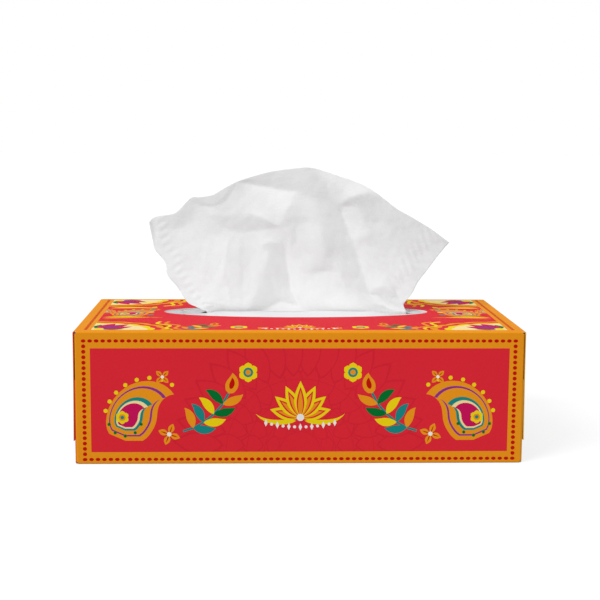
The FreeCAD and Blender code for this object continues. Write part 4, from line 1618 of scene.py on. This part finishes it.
# Facets of the standing tissue, as the photograph shows its folds from the front.
STANDING_FACETS = (
    # Left side, smooth and light.
    Facet(0.12, ((-66, 35.5, 8), (-54.5, 48.5, 4), (-42, 41.5, 4), (-36, 35.5, 3), (-38, 16.5, 3),
                  (-42, 6, 6), (-51, 6, 6), (-61, 17.5, 6))),
    # Light strip before the left crease.
    Facet(0.25, ((-42, 39.5, 5), (-35, 36, 1), (-36.5, 26.5, 1), (-39, 15, 1), (-43, 13.5, 6),
                  (-43, 26.5, 6))),
    # Darker strip behind it.
    Facet(-0.12, ((-35, 36, 1), (-31, 41.5, 2.5), (-24, 41, 5), (-22, 33, 6), (-24, 20, 6),
                  (-26, -1, 4), (-33.5, -1, 1), (-34.5, 8.5, 1), (-38, 15, 1), (-36.5, 26.5, 1))),
    # Dark line in it.
    Facet(-0.25, ((-29.5, 38, 1.5), (-27, 38, 1.5), (-27.5, 0.5, 1.5), (-29, 0.5, 1.5))),
    # Low left, light patch.
    Facet(0.25, ((-39.5, 13.5, 2), (-35, 13, 1), (-34.5, 6, 1), (-38, 8, 2.5))),
    # Low left, dark foot.
    Facet(-0.31, ((-48.5, 2, 2.5), (-43, 5, 2), (-36.5, 4, 1.5), (-34, -1, 1), (-44.5, -2.5, 1))),
    # Middle, plain.
    Facet(0.23, ((-8, 43.5, 4), (1.5, 48, 8), (10.5, 46, 12), (14.5, 34.5, 12), (9.5, 24, 8),
                  (-1, 20, 8), (-4.5, 32, 1))),
    # Small hollow in the middle.
    Facet(-0.16, ((-7.5, 44.5, 1.5), (-5, 48.5, 2), (1.5, 49.5, 4), (5, 48, 5), (0.5, 44.5, 5),
                  (-3.5, 43, 4))),
    # Crease down the middle.
    Facet(-0.11, ((-3.5, 44.5, 2), (-0.5, 44.5, 2), (-0.5, 34.5, 2.5), (-2.5, 34.5, 2.5))),
    # Light side of the cone.
    Facet(0.23, ((-5.5, 33, 1), (1.5, 32, 8), (7, 19, 8), (4.5, -1, 6), (2, 1, 1.5), (0.5, 3.5, 1),
                  (-3, 11, 1), (-4.5, 21.5, 1))),
    # Below the crown, grey.
    Facet(-0.18, ((-43, 56, 4), (-33, 63.5, 2), (-29.5, 65.5, 1.5), (-24, 60, 8), (-21.5, 52.5, 8),
                  (-29, 50.5, 2.5), (-36.5, 50.5, 2), (-43, 50, 2.5))),
    # Below the crown, brightest.
    Facet(0.47, ((-25, 65.5, 10), (-21.5, 65, 1.5), (-11, 63.5, 2), (-1, 62, 3), (-3, 56, 3),
                  (-6.5, 50.5, 2.5), (-9, 44, 2), (-16.5, 47.5, 2), (-22.5, 50.5, 5),
                  (-26.5, 57.5, 10))),
    # Top of the crown.
    Facet(-0.28, ((-31, 66.5, 1), (-26.5, 68.5, 2), (-16.5, 72, 2), (2.5, 76, 2), (9, 75, 2),
                  (17, 61.5, 2.5), (6.5, 57.5, 8), (-0.5, 62, 3), (-11, 63.5, 2), (-21.5, 65, 1))),
    # Dark tip on the left of the crown.
    Facet(-0.61, ((-31, 66.5, 1), (-25, 68, 1), (-20, 67, 3), (-25, 66, 1))),
    # Right of the crown, light.
    Facet(0.36, ((8, 74, 1.5), (20.5, 71, 2), (30, 68.5, 3), (38.5, 62.5, 6), (31, 60.5, 1.5),
                  (26, 58.5, 1), (22.5, 55, 1), (19.5, 57, 1.5), (14, 66, 1.5))),
    # Main dark band, upper.
    Facet(-0.46, ((8, 72.5, 1), (14, 66, 1.5), (19, 57.5, 1.5), (23, 52.5, 2), (26, 42, 2),
                  (28.5, 34, 3), (19.5, 27, 8), (14, 39.5, 8), (10, 52.5, 8), (6.5, 62.5, 8))),
    # Main dark band, lower.
    Facet(-0.45, ((14.5, 42, 8), (26, 43.5, 2), (31.5, 30.5, 3), (36, 17.5, 3), (38.5, 8, 1.5),
                  (46.5, -0.5, 1.5), (42, -1.5, 2), (33, 6, 3), (25.5, 13, 3.5), (20, 21.5, 4),
                  (14.5, 28.5, 6))),
    # Strip right of the band.
    Facet(0.44, ((23, 54.5, 1), (30, 54, 1), (34.5, 48.5, 1.5), (37.5, 41.5, 4), (37, 33, 12),
                  (29.5, 34.5, 3), (26, 43.5, 2), (23, 50.5, 1.5))),
    # Lower right, plain.
    Facet(0.15, ((30, 37, 3), (38, 41, 6), (46, 36, 8), (56, 27, 8), (62, 15, 4), (57, 4, 2),
                  (52.5, 8.5, 4), (49.5, 13, 2), (40.5, 12.5, 2), (37.5, 11, 2.5), (32.5, 24, 3))),
    # Beyond the arch.
    Facet(-0.25, ((44.5, 59, 1.5), (54, 52, 2), (67, 44.5, 2), (80, 36, 2), (68.5, 27, 10),
                  (58.5, 29.5, 10), (49, 39.5, 8), (44.5, 47, 3))),
    # Arch, dark underside.
    Facet(-0.25, ((22.5, 55, 1), (26, 58.5, 1), (31, 60.5, 1.5), (37.5, 61, 1.5), (43.5, 59, 2),
                  (44.5, 52.5, 2), (44, 47, 1.5), (39.5, 45.5, 2), (35.5, 46.5, 1.5),
                  (33, 50.5, 1.5), (30, 54.5, 1), (26, 55.5, 1))),
    # Arch, darkest.
    Facet(-0.36, ((23, 55, 1), (28.5, 59, 1.5), (34.5, 59.5, 2.5), (41, 57.5, 3), (35, 54, 3),
                  (29.5, 55, 1.5))),
    # Right edge, lighter.
    Facet(-0.12, ((65, 29.5, 6), (71, 33.5, 4), (79, 35.5, 1.5), (71.5, 27, 1.5), (62.5, 15, 1.5),
                  (58.5, 20.5, 6))),
    # Dent, dark.
    Facet(-0.22, ((5, 20.5, 1), (10, 23.5, 3), (15, 27, 5), (21, 28, 6), (25, 20.5, 5),
                  (19, 21.5, 1), (13, 21, 1))),
    # Lower bulge, light.
    Facet(0.34, ((2, 8.5, 8), (5.5, 16.5, 6), (9.5, 20, 2.5), (16, 21, 1), (21.5, 20, 5),
                  (24.5, 14, 5), (33.5, 6, 3), (43.5, -2, 1.5), (17.5, -2, 4), (6, -2, 4))),
    # Low right, dark fold.
    Facet(-0.38, ((37.5, 8.5, 1), (40.5, 12, 1.5), (45.5, 13.5, 2), (51, 12.5, 3), (53, 6, 3),
                  (57, 0, 2), (51.5, 2, 1.5), (46.5, 6, 1.5), (42, 8.5, 1))),
    # Low right, light streak.
    Facet(0.32, ((37.5, 8.5, 1), (42, 8.5, 1), (47, 5.5, 1), (55, -0.5, 1), (50, -1, 1),
                  (42.5, 3.5, 1))),
    # Under the streak.
    Facet(-0.45, ((36, 8, 1), (39.5, 5.5, 1), (46.5, 1, 1), (45.5, -1.5, 1), (38.5, 3, 1.5))),
    # Lens under the brightest part.
    Facet(-0.44, ((-43, 49, 3), (-36, 50.5, 3), (-28.5, 50.5, 3), (-22, 50, 2.5), (-15.5, 47, 1.5),
                  (-9.5, 43.5, 1), (-18, 42, 1.5), (-26.5, 41, 2.5), (-34, 41.5, 2.5),
                  (-39, 44.5, 2.5))),
    # Cone.
    Facet(-0.42, ((-19, 34, 1), (-14.5, 36, 1.5), (-9.5, 35.5, 1.5), (-6.5, 33, 1.5),
                  (-5.5, 25.5, 1), (-4, 17.5, 1), (-3, 10, 1), (0.5, 3, 1), (-8, 5, 1.5),
                  (-13, 2.5, 2.5), (-19.5, -1.5, 2.5), (-25, 0.5, 3), (-24, 5.5, 6),
                  (-20.5, 11, 6), (-17.5, 21.5, 6), (-14.5, 28, 2), (-14, 30.5, 1.5))),
    # Cone, darkest side.
    Facet(-0.49, ((-6.5, 14, 5), (-4.5, 17.5, 1), (-3, 10, 1), (0.5, 3, 1), (-4.5, 5.5, 2.5),
                  (-8.5, 8.5, 5))),
    # Under the cone, light.
    Facet(0.25, ((-13, 2, 2), (-8, 5, 1.5), (0.5, 2.5, 1), (2, 1.5, 1), (-8.5, 0, 2))),
    # Left crescent.
    Facet(-0.19, ((-71, 49, 2), (-63.5, 50, 1.5), (-58, 53.5, 1.5), (-54, 58.5, 1.5), (-52, 57, 1),
                  (-51, 52, 2.5), (-53, 47, 2.5), (-58.5, 43, 2), (-63.5, 41.5, 3),
                  (-68, 44.5, 3))),
    # Curl below the crown.
    Facet(-0.29, ((-53.5, 58.5, 1.5), (-48.5, 59, 1.5), (-42.5, 60, 1.5), (-36.5, 64.5, 1.5),
                  (-30, 67, 1), (-32.5, 63.5, 1), (-37.5, 56.5, 1), (-42.5, 54, 1), (-49.5, 55, 1),
                  (-52.5, 57, 1))),
    # Curl, dark rim.
    Facet(-0.58, ((-52.5, 58, 1), (-49, 56, 1.5), (-43, 55, 1.5), (-37.5, 58.5, 2), (-32, 65, 1.5),
                  (-31, 65, 1), (-36.5, 56.5, 1), (-42.5, 54, 1), (-49.5, 54.5, 1))),
    # Corner, light curl.
    Facet(0.31, ((-73, 47, 1.5), (-70, 44, 2), (-69, 40, 2.5), (-71.5, 39.5, 1.5), (-73, 43, 1))),
    # Corner, dark edge.
    Facet(-0.53, ((-76, 46.5, 1), (-74, 45.5, 1), (-72.5, 39.5, 1), (-72.5, 33, 1.5),
                  (-74.5, 34, 1))),
)


@dataclass
class SlitFilm:
    """The milky film glued under the window, with its slit spread by the tissue."""

    carton: Carton
    under: float
    thickness: float = 0.08
    margin: float = 9.0
    corner: float = 8.0
    slit_length: float = 120.0
    slit_width: float = 9.0
    slit_roundness: float = 0.96
    oval_power: float = 0.8
    held_from: float = -45.0
    held_to: float = 55.5
    pinch: float = 0.93
    pinch_run: float = 4.5
    lip_lift: float = 1.7
    lifted_to: float = 38.0
    lift_run: float = 16.0
    end_sag: float = 1.2
    sag_end: float = 64.0
    swing_scale: Triple = (0.045, 0.11, 1.0)
    swing_level: float = 0.8
    swing_depth: float = 0.6
    around: int = 240
    window_rings: int = 16
    border_rings: int = 3

    @classmethod
    def from_frame(cls, carton: Carton) -> "SlitFilm":
        """Hang the film under the carton's top panel."""
        _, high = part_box("slit_film")
        return cls(carton, high.z / MM)

    def openness(self, x: float) -> float:
        """Find the share of its width that the slit keeps beside and past the tissue.

        Args:
            x: Place along the slit.

        Returns:
            The share, under 1 where its ends nearly close.
        """
        past = (x - self.held_to if x > 0 else self.held_from - x) / self.pinch_run
        past = min(max(past, 0.0), 1.0)
        return 1.0 - self.pinch * eased(past)

    def lip_height(self, x: float) -> float:
        """Find how far the slit's lips rise beside the tissue or sag past its sides.

        Args:
            x: Place along the slit.

        Returns:
            The height, below 0 where the lips sag.
        """
        past = eased(min(max((abs(x) - self.lifted_to) / self.lift_run, 0.0), 1.0))
        sag = self.end_sag * max(1 - (x / self.sag_end) ** 8, 0.0)
        return self.lip_lift * (1 - past) - sag * past

    def rounded(self, half_x: float, half_y: float, radius: float) -> list[Point]:
        """Place points round a rounded rectangle, one for each direction from its middle.

        Args:
            half_x: Half its length.
            half_y: Half its width.
            radius: Radius of its corners.

        Returns:
            The points.
        """
        ring = []
        for step in range(self.around):
            angle = 2 * math.pi * step / self.around
            c, s = math.cos(angle), math.sin(angle)
            x = half_x * math.copysign(abs(c) ** 0.5, c)
            y = half_y * math.copysign(abs(s) ** 0.5, s)
            inner_x, inner_y = half_x - radius, half_y - radius
            cx, cy = max(min(x, inner_x), -inner_x), max(min(y, inner_y), -inner_y)
            out = math.hypot(x - cx, y - cy)
            if out > 1e-9 and (abs(x) > inner_x and abs(y) > inner_y):
                x, y = cx + (x - cx) / out * radius, cy + (y - cy) / out * radius
            elif abs(x) / half_x > abs(y) / half_y:
                x = math.copysign(half_x, x)
            else:
                y = math.copysign(half_y, y)
            ring.append((x, y))
        return ring

    def build(self) -> bpy.types.Object:
        """Returns:
            The film.
        """
        half = self.slit_width / 2
        slit = [(x, y * self.openness(x))
                for x, y in self.rounded(self.slit_length / 2, half, half * self.slit_roundness)]
        half_x, half_y = self.carton.window_length / 2, self.carton.window_width / 2
        oval = []
        for step in range(self.around):
            c, s = beyond(0.0, 0.0, 1.0, 360.0 * step / self.around)
            oval.append((half_x * math.copysign(abs(c) ** self.oval_power, c),
                         half_y * math.copysign(abs(s) ** self.oval_power, s)))
        patch = self.rounded(half_x + self.margin, half_y + self.margin, self.corner)
        points = []
        for ring in range(self.window_rings + self.border_rings + 1):
            inner, outer, share = slit, oval, ring / self.window_rings
            if share > 1:
                inner, outer, share = oval, patch, (ring - self.window_rings) / self.border_rings
            in_window = ring < self.window_rings
            for (ax, ay), (bx, by) in zip(inner, outer):
                x, y = ax + (bx - ax) * share, ay + (by - ay) * share
                z = self.under
                if in_window:
                    swing = self.swing_depth * uneven((x, y, 3.0), self.swing_scale)
                    z += eased(1 - share) * self.lip_height(x) * (self.swing_level + swing)
                points.append((x, self.carton.window_y + y, z))
        count = self.window_rings + self.border_rings + 1
        faces = grid_faces(count, self.around, closed=True)
        film = new_piece("window_film", points, [face[::-1] for face in faces],
                         [MilkyFilm().material()])
        film.data.polygons.foreach_set("use_smooth", [True] * len(film.data.polygons))
        thicken(film, self.thickness, -1.0)
        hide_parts("slit_film")
        return film


@dataclass
class FoldedPile:
    """The pile of interfolded tissues, whose long sides show their rounded folds."""

    low: Vector
    high: Vector
    folds: int = 52
    fold_steps: int = 4
    stations: int = 44
    stray: float = 0.5
    stray_scale: Triple = (0.03, 0.9, 7.0)
    lid_inset: float = 1.0

    @classmethod
    def from_frame(cls) -> "FoldedPile":
        """Take the pile's place from its CAD node."""
        low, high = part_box("tissue_pile")
        return cls(low / MM, high / MM)

    def outline(self, station: float) -> list[tuple[float, float]]:
        """Draw the pile across at one place along it.

        Args:
            station: Place along X.

        Returns:
            Points as (y, z), round the pile.
        """
        tall = (self.high.z - self.low.z) / self.folds
        round_in = tall * 0.5
        sides = []
        for side in (1, -1):
            column = []
            for number in range(self.folds):
                loose = uneven((station, number, side), self.stray_scale)
                reach = self.high.y - self.stray * (0.5 + 0.5 * loose)
                for step in range(self.fold_steps):
                    angle = math.pi * step / self.fold_steps
                    column.append((side * (reach - round_in + round_in * math.sin(angle)),
                                   self.low.z + tall * (number + 0.5 - 0.5 * math.cos(angle))))
            sides.append(column)
        back, front = sides
        lid = [(back[-1][0] - self.lid_inset, self.high.z),
               (front[-1][0] + self.lid_inset, self.high.z)]
        return back + lid + front[::-1]

    def build(self) -> bpy.types.Object:
        """Build the pile as a lofted block of fine layers.

        Returns:
            The pile.
        """
        rows = []
        for number in range(self.stations + 1):
            x = self.low.x + (self.high.x - self.low.x) * number / self.stations
            rows.append([(x, y, z) for y, z in self.outline(x)])
        count = len(rows[0])
        faces = grid_faces(len(rows), count, closed=True)
        first = count * self.stations
        faces += [list(range(count))[::-1], list(range(first, first + count))]
        pile = new_piece("folded_pile", [p for row in rows for p in row], [f[::-1] for f in faces],
                         [TissuePaper("pile_paper").material()])
        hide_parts("tissue_pile")
        return pile


@dataclass(frozen=True)
class Studio:
    """White studio: floor, world, soft lamps and the camera of the photograph."""

    camera_place: Triple = (-22.25, -639.7, 158.6)
    camera_yaw: float = 2.13
    camera_pitch: float = 7.86
    camera_roll: float = 0.37
    lens: float = 76.29
    sky: float = 0.715
    key: float = 1.35
    key_from: Triple = (-0.75, -0.62, 0.75)
    key_softness: float = 30.0
    floor_reach: float = 6.0

    def place_camera(self) -> None:
        """Put the camera where the photograph was taken from."""
        data = bpy.data.cameras.new("camera")
        data.lens = self.lens
        data.sensor_width = 36.0
        data.clip_start, data.clip_end = 0.01, 50.0
        camera = new_object("camera", data)
        camera.location = [c * MM for c in self.camera_place]
        yaw, pitch = math.radians(self.camera_yaw), math.radians(self.camera_pitch)
        forward = Vector((math.sin(yaw) * math.cos(pitch), math.cos(yaw) * math.cos(pitch),
                          -math.sin(pitch)))
        camera.rotation_mode = "QUATERNION"
        roll = Quaternion((0.0, 0.0, 1.0), math.radians(self.camera_roll))
        camera.rotation_quaternion = forward.to_track_quat("-Z", "Y") @ roll
        bpy.context.scene.camera = camera

    def light(self) -> None:
        """Light the box softly from above, the left and the front."""
        data = bpy.data.lights.new("key", "SUN")
        data.energy = self.key
        data.angle = math.radians(self.key_softness)
        lamp = new_object("key", data)
        lamp.rotation_mode = "QUATERNION"
        lamp.rotation_quaternion = Vector(self.key_from).to_track_quat("Z", "Y")

    def surround(self) -> None:
        """Make the world white to the camera and an even soft grey to the box."""
        graph = NodeGraph(bpy.data.worlds.new("studio"))
        rays = graph.add("ShaderNodeLightPath")
        seen = graph.math("MAXIMUM", rays.outputs["Is Camera Ray"],
                          rays.outputs["Is Transmission Ray"])
        sky = graph.add("ShaderNodeBackground", {"Color": (1.0, 1.0, 1.0, 1.0)})
        graph.join(graph.ranged(seen, (self.sky, 1.0)), sky.inputs["Strength"])
        bpy.context.scene.world = graph.close(sky, "ShaderNodeOutputWorld")

    def lay_floor(self) -> None:
        """Lay a wide floor under the box."""
        reach = self.floor_reach
        mesh = bpy.data.meshes.new("floor")
        mesh.from_pydata([(-reach, -reach, 0.0), (reach, -reach, 0.0), (reach, reach, 0.0),
                          (-reach, reach, 0.0)], [], [[0, 1, 2, 3]])
        mesh.materials.append(WhiteGround().material())
        floor = new_object("floor", mesh)

    def build(self) -> None:
        """Set the whole studio up."""
        self.place_camera()
        self.light()
        self.surround()
        self.lay_floor()
        bpy.context.scene.view_settings.view_transform = "Standard"


def report(piece: bpy.types.Object) -> None:
    """Log a piece's name and how many faces its mesh has."""
    LOG.info("%s: %d faces", piece.name, len(piece.data.polygons))


def main() -> None:
    """Build the tissue box in its studio and write how large it is."""
    logging.basicConfig(level=logging.INFO, format="%(name)s: %(message)s")
    Studio().build()
    carton = Carton.from_frame()
    report(carton.build())
    report(SlitFilm.from_frame(carton).build())
    report(FoldedPile.from_frame().build())
    report(LeadingTissue.from_frame(carton).build())


if __name__ == "__main__":
    main()
